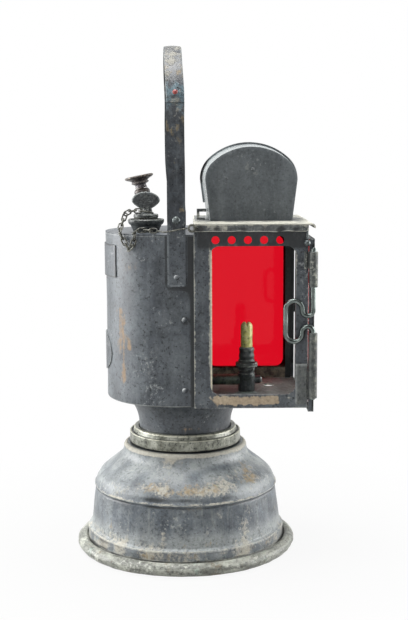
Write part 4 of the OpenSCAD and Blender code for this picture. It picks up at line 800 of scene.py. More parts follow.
# a long scrape down the near side, ragged, with a short one beside it and a faint one near the top
ragged = 0.72 + 0.3 * ripple(p * [1, 1, 0.6], 16, 32) + 0.35 * ripple(p * [1, 1, 0.2], 4, 36)
mark(tankWall, 1.3, bare=side * (
    1.2 * spot(x, -46.3, 3.4) * ramp(z, 130, 140) * (1 - ramp(z, 184, 200)) * ragged
    + 1.0 * spot(x, -39.8, 2.0) * (ramp(z, 158, 161) * (1 - ramp(z, 166, 172)) + 0.6 * spot(z, 146, 8))
    + 0.4 * spot(x, -38, 8) * spot(z, 222, 5)) + 0.1 * ripple(p, 20, 33))
# dust in patches, and a light film over the left side, a painted sheen on the lit side
mark(tankWall, 0.5, dust=(
    0.3 * spot(z, 241, 3.5) + spots(x, z, ((-24, 12, 158, 16, 0.3), (-46, 9, 160, 30, 0.2)))
    + 0.2 * ripple(p, 34, 34)), film=(
    0.07 + 0.22 * (1 - ramp(x, -50, -14)) + 0.14 * ripple(p * [1, 1, 0.5], 16, 37)))
# painted shade in a ring under each rivet, in the step to the lamp box, round the lug and along the bottom edge;
# faint random dirt over all
byStud = sum(spot(np.hypot(x - rivets["x"] - 0.5, z - height + 0.6), 2.3, 0.9) for height in rivets["heights"])
byBox = ramp(x, 1.6, 3.0) * ramp(z, 184, 226)
byLug = spot(z, 206.4, 1.6) * ramp(x, -13.5, -11) + spot(x, -12.7, 1.1) * ramp(z, 206, 210)
mark(tankWall, 1, dirt=(
    side * (0.95 * byBox + 0.95 * byLug + 0.8 * byStud) + 1.2 * ramp(x, 4.4, 5.7) + 0.3 * ramp(x, -4, 5)
    + 0.5 * (1 - ramp(z, 119, 121)) + 0.22 * ripple(p, 24, 35)))
makePiece("tankWall", [tankWall], "head", ["tank_wall"], tankPaint)

studs = []
for turn, flip in ((faceNear, -1), (faceFar, 1)):
    places = [(rivets["x"], flip * tankR, height) for height in rivets["heights"]]
    for place in places + [(rivets["lugX"], flip * rivets["lugY"], rivets["lugZ"])]:
        studs.append(lathe(domeLine(rivets["radius"], rivets["rise"]), 24, False, turn, place))
# each head gets a painted highlight on its upper left and painted shade on its lower right
for stud in studs:
    x, y, z = (stud["points"] - stud["points"].mean(0)).T
    mark(stud, 1, film=0.3 * (z - x) + 0.1, dirt=0.5 * (x - z) - 0.1)
makePiece("bodyRivets", studs, "head", ["body_rivets"], rivetPaint)

plates = {
    "nameHalf": 35.0, "nameLow": 212.539, "nameHigh": 236.539, "corner": 1.2, "badgeHalfW": 23.7,
    "badgeHalfH": 14.7, "badgeZ": 154.039, "thick": 0.8, "gap": 0.05, "step": 2.2}
plateR = tankR + plates["gap"] + plates["thick"]


def wrapped(u, v, depth):
    # u is the distance round the tank from the middle of its back
    a, r = np.pi - u / tankR, plateR - depth
    return -back + r * np.cos(a), r * np.sin(a), v


nameHalf = np.radians(plates["nameHalf"]) * tankR
nameLine = roundRect(-nameHalf, plates["nameLow"], nameHalf, plates["nameHigh"], plates["corner"])
namePlate = cutSheet(nameLine, [], plates["thick"], plates["step"], wrapped)
x, y, z = namePlate["points"].T
toSide = nameHalf - np.abs(np.arctan2(y, -x - back) * tankR)
toEnd = np.minimum(z - plates["nameLow"], plates["nameHigh"] - z)
# painted shade: a dark line round the plate's rim
mark(namePlate, 1, dirt=np.minimum(toSide, toEnd) < 0.25)
makePiece("barePlate", [namePlate], "head", ["name_plate"], tankPaint)
badgeHalf = np.arcsin(plates["badgeHalfW"] / plateR) * tankR
badgeLine = ring(1, 64) * [badgeHalf, plates["badgeHalfH"]] + [0, plates["badgeZ"]]
badge = cutSheet(badgeLine, [], plates["thick"], plates["step"], wrapped)
makePiece("bareBadge", [badge], "head", ["rear_badge"], tankPaint)
print("tank made")


# filler cup, plug and chain

filler = {
    "place": (-28.0, -18.0, 245.539), "boreR": 7.25, "sleeveR": 8.4, "footR": 9.8, "cupR": 13.5, "cupH": 9.5,
    "deep": 12.7, "sheet": 1.2}
boreR, sleeveR, footR, cupR, cupH = (filler[key] for key in ("boreR", "sleeveR", "footR", "cupR", "cupH"))
bowlMid = (footR, cupH - 1.2)
cupLine = np.vstack([
    [[boreR, -filler["deep"]], [sleeveR, -filler["deep"]], [sleeveR, 0.0], [footR, 0.0], [footR, 0.8]],
    arc(bowlMid, cupR - footR, -62, 0, 12),
    [[cupR, cupH - 0.5], [cupR - 0.5, cupH], [cupR - filler["sheet"], cupH]],
    arc(bowlMid, cupR - footR - filler["sheet"], 0, -60, 12),
    [[sleeveR, cupH * 0.3], [sleeveR, cupH - 0.2], [boreR, cupH]]])
cup = lathe(fine(cupLine, 0.8, True), 96, True, upright, filler["place"])
mark(cup, 0.5, dust=0.12 + 0.3 * ripple(cup["points"], 9, 41))
makePiece("fillerCup", [cup], "head", ["filler_neck"], sootIron)

plug = {
    "seatZ": 255.089, "sealT": 1.0, "discR": 9.25, "discT": 2.6, "shankR": 7.2, "shankL": 13.7, "neckR": 2.7,
    "neckH": 4.0, "leafW": 21.0, "leafH": 13.5, "leafT": 2.6, "leafRings": 18, "leafTurns": 72, "pit": 0.3}
plugX, plugY = filler["place"][:2]
discZ = plug["seatZ"] + plug["sealT"]
discR, discT, shankR, shankL, neckR = (plug[key] for key in ("discR", "discT", "shankR", "shankL", "neckR"))
neckTop = discT + plug["neckH"]
plugLine = softLine([
    (0, -shankL), (shankR - 1, -shankL), (shankR, 1 - shankL), (shankR, 0), (discR, 0), (discR, discT),
    (6.2, discT), (5.6, discT + 0.3), (neckR, discT + 0.3), (neckR - 0.6, neckTop), (0, neckTop)],
    [0, 0.3, 0.3, 0, 0.7, 0.9, 0.3, 0.3, 0.8, 0, 0], 0.6)
plugTurned = lathe(plugLine, 96, False, upright, (plugX, plugY, discZ))
leafMid = discZ + neckTop + plug["leafH"] / 2 - 1
# leaf grip: an ellipse drawn in towards its stem, with a raised rim, pitted on both faces
a = np.linspace(0, 2 * np.pi, plug["leafTurns"], endpoint=False)
r = np.sin(np.linspace(0, np.pi / 2, plug["leafRings"]))
face = np.repeat([1.0, -1.0], [len(r), len(r) - 1])[:, None]
r, a = np.meshgrid(np.r_[r, r[-2::-1]], a, indexing="ij")
swell = 0.5 * plug["leafT"] * face * np.clip(1 - r ** 10, 0, 1) ** 0.5 * (0.68 + 0.32 * r ** 5)
drawn = 1 - 0.36 * np.clip(-r * np.sin(a), 0, 1) ** 1.3
p = np.stack([
    plugX + plug["leafW"] / 2 * r * np.cos(a) * drawn, plugY - swell,
    leafMid + plug["leafH"] / 2 * r * np.sin(a)], -1).reshape(-1, 3)
p[:, 1] -= np.sign(p[:, 1] - plugY) * plug["pit"] * np.abs(ripple(p, 2.4, 43)).clip(0, 1)
leaf = {"points": p, "faces": gridFaces(*r.shape, False, True)}
mark(leaf, 0.5, dust=0.2 + 0.3 * ripple(p, 5, 44))
mark(leaf, 1, film=0.6 * ramp(r, 0.8, 0.98).ravel())
makePiece("fillerPlug", [plugTurned, leaf], "plug", ["filler_plug"], sootIron)

chain = {"wire": 1.1, "gap": 0.05, "pitch": 4.6, "ringR": 5.35, "ringLean": 10.0, "bearing": 215.0}
wireR, pitch, ringLean, swing = chain["wire"] / 2, chain["pitch"], chain["ringLean"], np.radians(chain["bearing"])
lift = chain["ringR"] * np.sin(np.radians(ringLean))
ringZ = discZ + discT + wireR + chain["gap"] + lift
keeper = lathe(
    ring(wireR, 12) + [chain["ringR"], 0], 72, True, leaning(ringLean, chain["bearing"]), (plugX, plugY, ringZ))
makePiece("plugRing", [keeper], "head", ["plug_ring"], tanSteel)

inR = chain["ringR"] * np.cos(np.radians(ringLean)) - wireR
ringTop = np.array([plugX + inR * np.cos(swing), plugY + inR * np.sin(swing), ringZ + lift])


def byRim(bearing, out, up):
    # a point by the tank's rim: bearing, then links outside the wall and above the lid
    r, a = tankR + out * pitch, np.radians(bearing)
    return [-back + r * np.cos(a), r * np.sin(a), tank["topZ"] + up * pitch]


route = np.array([
    ringTop, ringTop + pitch * np.array([-1.22, -0.85, 0.02]), ringTop + pitch * np.array([-2.3, -1.58, -0.3]),
    byRim(217.5, -1.1, 1.95), byRim(220.5, -0.13, 1), byRim(224, 0.57, 0.13), byRim(227.2, 0.57, -0.87),
    byRim(230.4, 0.57, -1.8), byRim(233.6, 0.57, -2.4), byRim(236.4, 0.57, -1.65), byRim(238, 0.57, -0.65),
    byRim(239, 0.55, 0.52), byRim(243, -0.4, 0.63), byRim(248.5, -0.43, 0.59), byRim(254, -0.26, 0.59),
    byRim(257, -0.09, 0.59)])
routeS = np.r_[0, np.cumsum(np.linalg.norm(np.diff(route, axis=0), axis=1))]


def onRoute(link):
    # the point a number of links along the route
    return np.stack([np.interp(link * pitch, routeS, route[:, k]) for k in range(3)], -1)


def unit(v):
    return v / np.linalg.norm(v)


# each link is a stadium of wire, long along the route, and every other one stands on edge
linkCount = int(routeS[-1] // pitch)
bowR, halfL, ovalCount = 1.45 * chain["wire"], (pitch + 0.7) / 2, 28
a = np.radians(np.linspace(-90, 270, ovalCount, endpoint=False) + 180 / ovalCount)
straight = halfL - bowR + wireR
oval = np.stack([np.sign(np.cos(a)) * straight + bowR * np.cos(a), bowR * np.sin(a), 0 * a], -1)
links = []
for i in range(linkCount):
    along = unit(onRoute(i + 1) - onRoute(i))
    level = unit(np.cross([0.3, 0.2, 1], along))
    across = np.cross(level if i % 2 == 0 else np.cross(along, level), along)
    linkTurn = np.stack([along, across, np.cross(along, across)], 1)
    links.append(turned(sweep(oval, ring(wireR, 10), (0, 0, 1), True), linkTurn, onRoute(i + 0.5)))
makePiece("plugChain", links, "head", ["plug_chain"], tanSteel)

wire = {
    "eyeR": 2.3, "eyeWire": 0.8, "eye": (6.1, -60.9, 250.639), "coilGap": 0.85, "strapX": -5.0,
    "studX": 3.1, "studY": -58.2, "studR": 1.2, "studL": 4.3}
eye, eyeR, strapX, wireY = np.array(wire["eye"]), wire["eyeR"], wire["strapX"], wire["eye"][1]
lastAlong = unit(onRoute(linkCount) - onRoute(linkCount - 1))
chainEnd = onRoute(linkCount - 0.5) + (halfL + chain["wire"] + chain["gap"]) * lastAlong
lowZ = tank["topZ"] + 2 * chain["wire"]
wireStops = np.array([
    chainEnd, chainEnd + pitch * np.array([0.5, -0.6, -0.06]), [strapX - 9.2, wireY + chain["wire"], lowZ],
    [strapX - 6.6, wireY, lowZ + 0.4], [strapX, wireY, lowZ + 1.6], eye - [2.7 * eyeR, 0, 0.4],
    eye - [eyeR + wire["eyeWire"] + chain["gap"], 0, 0]])
# round the corners of the wire by cutting each, three times over
for _ in range(3):
    before, after = wireStops[:-1], wireStops[1:]
    cuts = np.stack([0.75 * before + 0.25 * after, 0.25 * before + 0.75 * after], 1).reshape(-1, 3)
    wireStops = np.vstack([wireStops[:1], cuts, wireStops[-1:]])
chainWire = sweep(wireStops, ring(wireR, 12), (0, 0, 1))
makePiece("chainWire", [chainWire], "head", ["chain_wire"], tanSteel)
coilLine = ring(wire["eyeWire"], 12) + [eyeR, 0]
coils = [lathe(coilLine, 48, True, faceNear, eye + [0, s * wire["coilGap"], 0]) for s in (-1, 1)]
studLine = softLine([(0, 0), (wire["studR"], 0), (wire["studR"], wire["studL"]), (0, wire["studL"])], 0.3, 0.5)
stud = lathe(studLine, 24, False, faceNear, (eye[0] + wire["studX"], wire["studY"], eye[2]))
makePiece("chainEye", coils + [stud], "head", ["chain_eye"], tanSteel)
print("filler and chain made")


# needle valve on its leaning axis

valve = {
    "seat": (0, 0, 121.439), "lean": 12.0, "bearing": 13.0, "lid": 126.866, "under": 3, "over": 26, "glandR": 4.5,
    "boreR": 2.05, "nutR": 6.0, "nutH": 6.0, "knobGap": 0.4, "knobR": 11.0, "knobH": 9.5}
valveTurn, boreR, glandR = leaning(valve["lean"], -valve["bearing"]), valve["boreR"], valve["glandR"]


def onValve(line, turns, closed=True):
    return lathe(line, turns, closed, valveTurn, valve["seat"])


low, top = valve["lid"] - valve["under"], valve["lid"] + valve["over"]
glandLine = fine([(boreR, low), (glandR, low), (glandR, top), (boreR, top)], 2, True)
glandLine[:, 0] += 0.35 * (glandLine[:, 0] > 3) * spot(glandLine[:, 1], valve["lid"] + 2.2, 1.4)
makePiece("valveGland", [onValve(glandLine, 64)], "head", ["valve_gland"], sootIron)
nutTop = top + valve["nutH"]
nutLine = softLine([
    (boreR, top), (glandR, top), (valve["nutR"], top + 1.5), (valve["nutR"], nutTop - 1.5), (glandR, nutTop),
    (boreR, nutTop)], [0, 0.3, 1.2, 1.2, 0.3, 0], 0.5, True)
makePiece("glandNut", [onValve(nutLine, 64)], "head", ["gland_nut"], knobBronze)
knobFoot = nutTop + valve["knobGap"]
knobLine = softLine([
    (0, 0), (4.9, 0), (4.3, 1.2), (4.3, 3.0), (6.7, 4.2), (6.9, 5.2), (5.9, 5.9), (7.9, 7.2), (10.7, 8.5),
    (11.3, 9.3), (10.9, 10.4), (9.6, 10.7), (8.0, 10.0), (0, 9.8)],
    [0, 0.4, 0.6, 0.6, 0.5, 0.5, 0.6, 0.6, 0.5, 0.5, 0.5, 0.6, 0.8, 0], 0.4)
knobLine = knobLine * [valve["knobR"], valve["knobH"]] / knobLine.max(0) + [0, knobFoot]
knob = onValve(knobLine, 96, False)
height = (knob["points"] - valve["seat"]) @ valveTurn[:, 2] - knobFoot
mark(knob, 1, film=0.5 * (1 - ramp(height, 4.6, 6.4)))
makePiece("valveKnob", [knob], "valve", ["valve_knob"], knobBronze)
print("valve made")


# lamp box

box = {
    "x0": 7.3, "x1": 89.5, "y": 57.0, "sheet": 1.2, "z0": 119.039, "z1": 252.239, "winX0": 19.1, "winX1": 80.6,
    "winZ0": 129.339, "winZ1": 237.339, "winR": 6.5, "ventZ": 241.739, "ventR": 2.9, "ventX": 22.95,
    "ventStep": 11.6, "vents": 5, "airX": 66.5, "airY": 22.0, "airR": 4.25, "gasX": 14.8, "gasR": 3.95,
    "dent": 0.22}
boxX0, boxX1, boxZ0, boxZ1, sheet = box["x0"], box["x1"], box["z0"], box["z1"], box["sheet"]
window = roundRect(box["winX0"], box["winZ0"], box["winX1"], box["winZ1"], box["winR"])
vents = [ring(box["ventR"], 24, (box["ventX"] + k * box["ventStep"], box["ventZ"])) for k in range(box["vents"])]
panelLine = np.array([(boxX0, boxZ0), (boxX1, boxZ0), (boxX1, boxZ1), (boxX0, boxZ1)])


def panel(flip, seed):
    def place(u, v, depth):
        loose = np.minimum(np.minimum(u - boxX0, boxX1 - u), boxZ1 - v).clip(0, 9) / 9
        dent = box["dent"] * loose * (ripple(np.stack([u, 0 * u, v], -1), 34, seed) - 0.5)
        return u, flip * (box["y"] - depth + dent), v
    return cutSheet(panelLine, [window] + vents, sheet, 1.9, place)


nearPanel = panel(-1, 51)
p = nearPanel["points"]
x, y, z = p.T
# a ragged scrape under the window, which starts on a slant
ragged = 2.2 * ripple(p * [1, 1, 0.5], 6, 59)
scrape = (
    ramp(x + 1.1 * (z - 124), 19, 25) * (1 - ramp(x + ragged, 67, 73))
    * ramp(z + 0.5 * ragged, 120.4, 122.4) * (1 - ramp(z + 0.6 * ragged, 126.4, 128.8)))
mark(nearPanel, 1.4, bare=1.35 * scrape + 0.12 * ripple(p, 9, 52), dust=(
    0.7 * (x < 7.5) + 0.35 * spot(x, 8, 0.7) + 0.4 * spot(z, 119.5, 1.2)
    + 1.2 * spot(x, 19.3, 0.8) * ramp(z, 128, 150)
    + 0.8 * spot(x, 80.5, 0.7) * (ramp(z, 205, 215) + 1 - ramp(z, 131, 140))
    + 0.7 * scrape * (1 - ramp(x, 24, 40)) + 0.3 * scrape + 0.7 * spot(x, 76.6, 3.2) * spot(z, 127.3, 2.4)
    + 0.09 * ripple(p, 20, 53)))
mark(nearPanel, 0.8, film=(
    spots(x, z, ((83, 9, 123, 6, 0.7), (15, 5, 123, 5, 0.5))) + 0.12 * ripple(p, 18, 58)))
# painted shade in a band under the roof's lip, dirt in the scrape and faint random dirt
mark(nearPanel, 0.9, dirt=(
    0.95 * ramp(z, 232, 237) * (1 - 0.6 * spot(x, 8, 2)) + 0.5 * scrape * ripple(p, 6, 56)
    + 0.2 * ripple(p, 28, 57)))
makePiece("nearPanel", [nearPanel], "head", ["near_panel"], panelPaint, 0.35)
farPanel = panel(1, 54)
x, y, z = farPanel["points"].T
inside, high = y < 56.3, z > 131
# faint dust; the inner face painted darker as shade, more above the sill, and bare tin below the window
mark(farPanel, 1, dust=0.2 * ripple(farPanel["points"], 26, 55), dirt=(0.5 + 0.4 * high) * inside,
     bare=0.7 * inside * (1 - high) * (1 - ramp(x, 66, 78)))
makePiece("farPanel", [farPanel], "head", ["far_panel"], panelPaint)

inY = box["y"] - sheet
floorHoles = [ring(box["airR"], 32, (box["airX"], box["airY"])), ring(box["gasR"], 32, (box["gasX"], 0.0))]
floorLine = np.array([(boxX0 + sheet, -inY), (boxX1, -inY), (boxX1, inY), (boxX0 + sheet, inY)])
tinFloor = cutSheet(floorLine, floorHoles, sheet, 2.4, lambda u, v, depth: (u, v, boxZ0 + sheet - depth))
p = tinFloor["points"]
mark(tinFloor, 0.9, dirt=0.4 * (1 - ramp(p[:, 0], 26, 40)) + 0.2 * ripple(p, 18, 58),
     dust=0.8 * ramp(-p[:, 1], 42, 53))
makePiece("tinFloor", [tinFloor], "head", ["box_floor"], floorTin)

# red pane, which stands on the floor in its guides
pane = {"x0": 14.7, "x1": 85.0, "z0": 120.239, "z1": 238.739, "corner": 0.4, "y": 55.6, "thick": 2.0}
redLine = roundRect(pane["x0"], pane["z0"], pane["x1"], pane["z1"], pane["corner"])
redPane = cutSheet(redLine, [], pane["thick"], 1.5, lambda u, v, depth: (u, pane["y"] - depth, v))
# grime has caked along the pane's foot, as high as the window's lower edge
mark(redPane, 1, dust=1 - ramp(redPane["points"][:, 2], box["winZ0"] - 1.5, box["winZ0"] + 0.5))
makePiece("redPane", [redPane], "head", ["red_glass"], redGlass)


def upBar(x0, x1, y0, y1, z0, z1, bend, step):
    # a square bar that stands upright, with softened edges
    line = softLine([(-x0, y0), (-x1, y0), (-x1, y1), (-x0, y1)], bend, step, True)
    h = stops(z0, z1, 2.0)
    return sweep(np.stack([0 * h, 0 * h, h], -1), line, (0, 1, 0))


guide = {"x0": 19.0, "x1": 20.3, "y0": -55.7, "y1": -54.9, "z0": 130.5, "z1": 236.0, "bend": 0.2, "step": 0.6}
makePiece("guideEdge", [upBar(**guide)], "head", [], edgeTin)

roof = {
    "sheet": 1.2, "lip": 5.6, "lipY": 58.2, "curlR": 2.6, "curlX": 92.0, "flueX": 50.5, "flueR": 17.0, "wave": 0.3}
lipY, curlX, curlR, roofTop = roof["lipY"], roof["curlX"], roof["curlR"], boxZ1 + roof["sheet"]
lipLow = roofTop - roof["lip"]
roofParts = [cutSheet(
    np.array([(boxX0, -lipY), (curlX, -lipY), (curlX, lipY), (boxX0, lipY)]),
    [ring(roof["flueR"], 64, (roof["flueX"], 0))], roof["sheet"], 2.2,
    lambda u, v, depth: (u, v, roofTop - depth))]
for flip in (-1, 1):
    run = stops(boxX0, boxX1, 1.6)
    outX = -flip * roof["sheet"]
    drop = softLine([(0, lipLow), (outX, lipLow), (outX, roofTop - 0.4), (0, roofTop - 0.4)],
                    [0.4, 0.4, 0, 0], 0.8, True)
    lip = sweep(np.stack([run, np.full_like(run, flip * box["y"]), 0 * run], -1), drop, (0, 0, 1))
    p = lip["points"]
    low = 1 - ramp(p[:, 2], lipLow, roofTop - 1)
    p[:, 2] += low * roof["wave"] * ripple(p * [1, 0, 0], 13, 61)
    p[:, 1] += flip * low * roof["wave"] * (1 + ripple(p * [1, 0, 0], 19, 62))
    mark(lip, 1.3, dust=0.24 + 0.6 * ripple(p, 11, 63) + 1.1 * (low < 0.02))
    mark(lip, 1, dirt=0.6 * spot(low, 0.6, 0.4) + 0.6 * ripple(p, 13, 66))
    roofParts.append(lip)
curlLine = np.vstack([arc((0, 0), curlR, 90, -20, 16), arc((0, 0), curlR - roof["sheet"], -20, 90, 16)])
along = stops(lipY, -lipY, 2.0)
curlPath = np.stack([np.full_like(along, curlX), along, np.full_like(along, roofTop - curlR)], -1)
roofParts.append(sweep(curlPath, curlLine * [-1, 1], (0, 0, 1)))
for part in (roofParts[0], roofParts[-1]):
    p = part["points"]
    x, y, z = p.T
    mark(part, 1.2, dust=(
        0.48 + 0.52 * ramp(-y, 20, 34) + 0.16 * ripple(p, 24, 64) + 0.5 * ramp(np.abs(y), 55, 58)
        + 0.3 * ramp(x, 84, 91)))
    mark(part, 0.8, dirt=0.08 + 0.22 * ripple(p, 22, 65))
makePiece("roofSheet", roofParts, "head", ["roof"], roofPaint)
print("lamp box made")


# smoke hood

hood = {
    "x": 50.5, "footHalf": 30.5, "half": 34.25, "flankH": 30.3, "rise": 24.3, "shoulderR": 18.0, "depth": 42.0,
    "flare": 2.2, "rim": 1.4, "outletH": 12.0, "sheet": 1.2, "dent": 0.12, "stainAt": (51.6, 291.5),
    "dimpleR": 1.5, "dimpleH": 0.8, "rings": 20}
hoodX, hoodSheet, halfDepth = hood["x"], hood["sheet"], hood["depth"] / 2


def hoodLine(grow, count=26):
    # straight flanks, then the shoulders and crown of a three-centred arch, grown outwards by a margin
    wide, up, bend = (hood[key] + grow for key in ("half", "rise", "shoulderR"))
    off, flankH = wide - bend, hood["flankH"]
    crown = (off ** 2 + up ** 2 - bend ** 2) / (2 * (up - bend))
    turn = np.degrees(np.arctan2(crown - up, off))
    flank = fine([(hood["footHalf"] + grow, 0), (wide, flankH)], 2.5)
    half = np.vstack([
        flank[:-1], arc((off, flankH), bend, 0, turn, count),
        arc((0, flankH + up - crown), crown, turn, 90, count)[1:]])
    return np.vstack([half, half[-2::-1] * [-1, 1]])


def frontAt(u, v, depth):
    dent = hood["dent"] * ripple(np.stack([u, 0 * u, v], -1), 30, 71)
    return hoodX + u, depth - halfDepth + dent, roofTop + v


frontLine = hoodLine(0)
frontPlate = cutSheet(frontLine, [], hoodSheet, 2.0, frontAt)
p = frontPlate["points"]
x, y, z = p.T
stainX, stainZ = hood["stainAt"]
around = np.hypot(x - stainX, z - stainZ)
edge = np.linalg.norm(p[:, None, ::2] - (frontLine + [hoodX, roofTop])[None], axis=2).min(1)
mark(frontPlate, 0.6, dust=(
    0.6 * spot(around, 3.5, 3) + 0.14 * ripple(p * [1, 1, 0.4], 18, 72) + 0.4 * spot(z, roofTop + 3, 3)))
mark(frontPlate, 0.8, dirt=(
    0.5 * (1 - ramp(z, roofTop, roofTop + 3)) + 0.5 * spot(around, 1.6, 0.8) + 0.18 * ripple(p, 26, 73)))
# a light band round the plate's edge, a painted edge highlight, and faint long streaks
mark(frontPlate, 1, film=0.5 * (edge < 1.3) + 0.2 * ripple(p * [1, 1, 0.35], 20, 75))
dimple = lathe(
    domeLine(hood["dimpleR"], hood["dimpleH"]), 24, False, faceNear, (stainX, -halfDepth - 0.05, stainZ))
mark(dimple, 1, dirt=0.5)
makePiece("hoodFront", [frontPlate, dimple], "head", ["hood_front"], hoodPaint, 0.35)


def mouthOf(patch, inner, low, high):
    # the left end of the hood: distance left of the hood's middle, and a mask there that takes painted shade
    across, over = hoodX - patch["points"][:, 0], patch["points"][:, 2] - roofTop
    return across, ramp(across, *inner) * ramp(over, *low) * (1 - ramp(over, *high))


rim, outletH = hood["flare"] + hood["rim"], hood["outletH"]
rearLine = hoodLine(rim)
cutX = np.interp(outletH, [0, hood["flankH"]], [hood["footHalf"], hood["half"]]) + rim
rearLine = np.vstack([[[cutX, outletH]], rearLine[rearLine[:, 1] > outletH], [[-cutX, outletH]]])
rearPlate = cutSheet(rearLine, [], hoodSheet, 2.4, lambda u, v, depth: (hoodX + u, halfDepth - depth, roofTop + v))
inside = rearPlate["points"][:, 1] < halfDepth - 0.6
across, mouth = mouthOf(rearPlate, (20, 26), (24, 29), (42, 47))
# inner face: painted shade round the left end, lighter painted shade over the middle and right, and a painted
# highlight over the rest of the left part
mark(rearPlate, 1.2, dirt=(1.2 * mouth + 0.3 * (across < 18)) * inside,
     film=0.8 * ramp(across, 8, 18) * (1 - mouth) * inside)
makePiece("hoodRear", [rearPlate], "head", ["hood_rear"], hoodPaint)

# vault: the outline carried from the front plate to the rear one while it grows, as an outer and an inner
# face
deep = np.linspace(hoodSheet - halfDepth, halfDepth - hoodSheet, hood["rings"])
growth = np.linspace(0, hood["flare"], hood["rings"])
lines = np.stack([hoodLine(grow) for grow in growth] + [hoodLine(grow - hoodSheet) for grow in growth[::-1]])
rows, cols = lines.shape[:2]
vaultPoints = np.stack([
    hoodX + lines[:, :, 0], np.repeat(np.r_[deep, deep[::-1]][:, None], cols, 1), roofTop + lines[:, :, 1]], -1)
vaultFaces = gridFaces(rows, cols, True, False).tolist()
vaultFaces += [[k * cols + end for k in range(rows)] for end in (0, cols - 1)]
vault = {"points": vaultPoints.reshape(-1, 3), "faces": vaultFaces}
across, mouth = mouthOf(vault, (22, 27), (25, 30), (40, 46))
mark(vault, 0.6, dust=0.2 + 0.2 * ripple(vault["points"], 20, 74))
# painted shade at the rear of the left end, and a light film all over that grows to the left as a painted
# highlight
mark(vault, 1.1, dirt=1.1 * mouth * ramp(vault["points"][:, 1], 6, 14), film=0.5 + 0.5 * ramp(across, 6, 18))
makePiece("hoodVault", [vault], "head", ["hood_vault"], vaultPaint)
print("hood made")


# handle

strap = {
    "x": -5.0, "half": 6.5, "pivotZ": 256.039, "pivotR": 2.25, "inY": 56.7, "thick": 2.2, "archZ": 321.639,
    "archTo": 31.0, "lugBottom": 208.539, "lugT": 2.5, "lugCorner": 2.0, "lugBore": 2.2, "tankY": 54.0,
    "span": 114.0, "farLean": 3.4, "topLean": 1.2, "wave": 0.2}
strapX, half, pivotZ, archZ = (strap[key] for key in ("x", "half", "pivotZ", "archZ"))
strapT, lugLow, lugT, lugBend = (strap[key] for key in ("thick", "lugBottom", "lugT", "lugCorner"))
pivot = (strapX, pivotZ)


def bailBend(p):
    # how far the bail is bent by use: the far strap leans back, and the grip goes from the one to the other
    x, y, z = p.T
    far = np.clip(y / strap["span"] + 0.5, 0, 1)
    wave = strap["wave"] * ramp(z, 262, 300) * ripple(p * [0, 0, 1], 45, 84)
    return wave - strap["farLean"] * far * ramp(z, 250, 300) - strap["topLean"] * ramp(z, 335, 382)


middleR = strap["inY"] + strapT / 2
topV = archZ + np.radians(strap["archTo"]) * middleR
lugLine = np.vstack([
    arc((strapX + half - lugBend, lugLow + lugBend), lugBend, -90, 0, 8), arc(pivot, half, 0, 180, 33),
    arc((strapX - half + lugBend, lugLow + lugBend), lugBend, 180, 270, 8)])
barLine = np.vstack([[[strapX + half, topV], [strapX - half, topV]], arc(pivot, half, 180, 360, 33)])
for side, flip in (("near", -1), ("far", 1)):
    lug = cutSheet(lugLine, [ring(strap["lugBore"], 24, pivot)], lugT, 1.7,
                   lambda u, v, depth: (u, flip * (strap["tankY"] + lugT - depth), v))
    x, y, z = lug["points"].T
    # faint dust, a painted highlight along the left and bottom edges, and a light band at the rivet's height
    mark(lug, 1, dust=0.2 * ripple(lug["points"], 16, 81), film=(
        1.0 * (x < strapX - half + 0.3) + 1.0 * (z < lugLow + 0.3) + 0.25 * spot(z, 213, 5)))
    makePiece(side + "Lug", [lug], "head", ["lug_" + side], lugPaint, 0.4)

    def bentUp(u, v, depth):
        # straight up to the arch and then round it, at one depth in the strap's thickness
        turn = np.maximum(v - archZ, 0) / middleR
        r = strap["inY"] + strapT - depth
        return u, flip * r * np.cos(turn), np.minimum(v, archZ) + r * np.sin(turn)

    bar = cutSheet(barLine, [ring(strap["pivotR"], 24, pivot)], strapT, 1.6, bentUp)
    p = bar["points"]
    x, y, z = p.T
    mark(bar, 0.6, dust=0.34 * ramp(z, 300, 340) + 0.34 * ripple(p, 7, 82), green=0.55 * spot(z, 338, 14))
    mark(bar, 0.85, bare=(
        0.3 * spot(z, 322, 18) + 1.2 * spot(z, 264, 4.5) * spot(x, -0.6, 2.4) + 0.3 * ripple(p, 7, 83)))
    mark(bar, 0.7, dirt=0.2 + 0.3 * ripple(p, 17, 85))
    p[:, 0] += bailBend(p)
    makePiece(side + "BailStrap", [bar], "bail", ["bail_strap_" + side], strapPaint, 0.5)

grip = {
    "in": 58.9, "thick": 2.0, "from": 17.0, "edge": 0.6, "crown": 0.35, "thinTo": 24.0, "thin": 0.75, "least": 0.3}
gripIn, gripT = grip["in"], grip["thick"]
bow = arc((0, archZ), gripIn + gripT / 2, 180 - grip["from"], grip["from"], 120)
gripLine = softLine([
    (-half, -gripT / 2), (half, -gripT / 2), (half, grip["edge"]), (0, gripT / 2 + grip["crown"]),
    (-half, grip["edge"])], [0, 0.5, 0.6, 5, 0.6], 1.2, True)
y, z = bow.T
band = sweep(np.stack([np.full_like(y, strapX), y, z], -1), gripLine, np.stack([0 * y, y, z - archZ], -1))
p = band["points"]
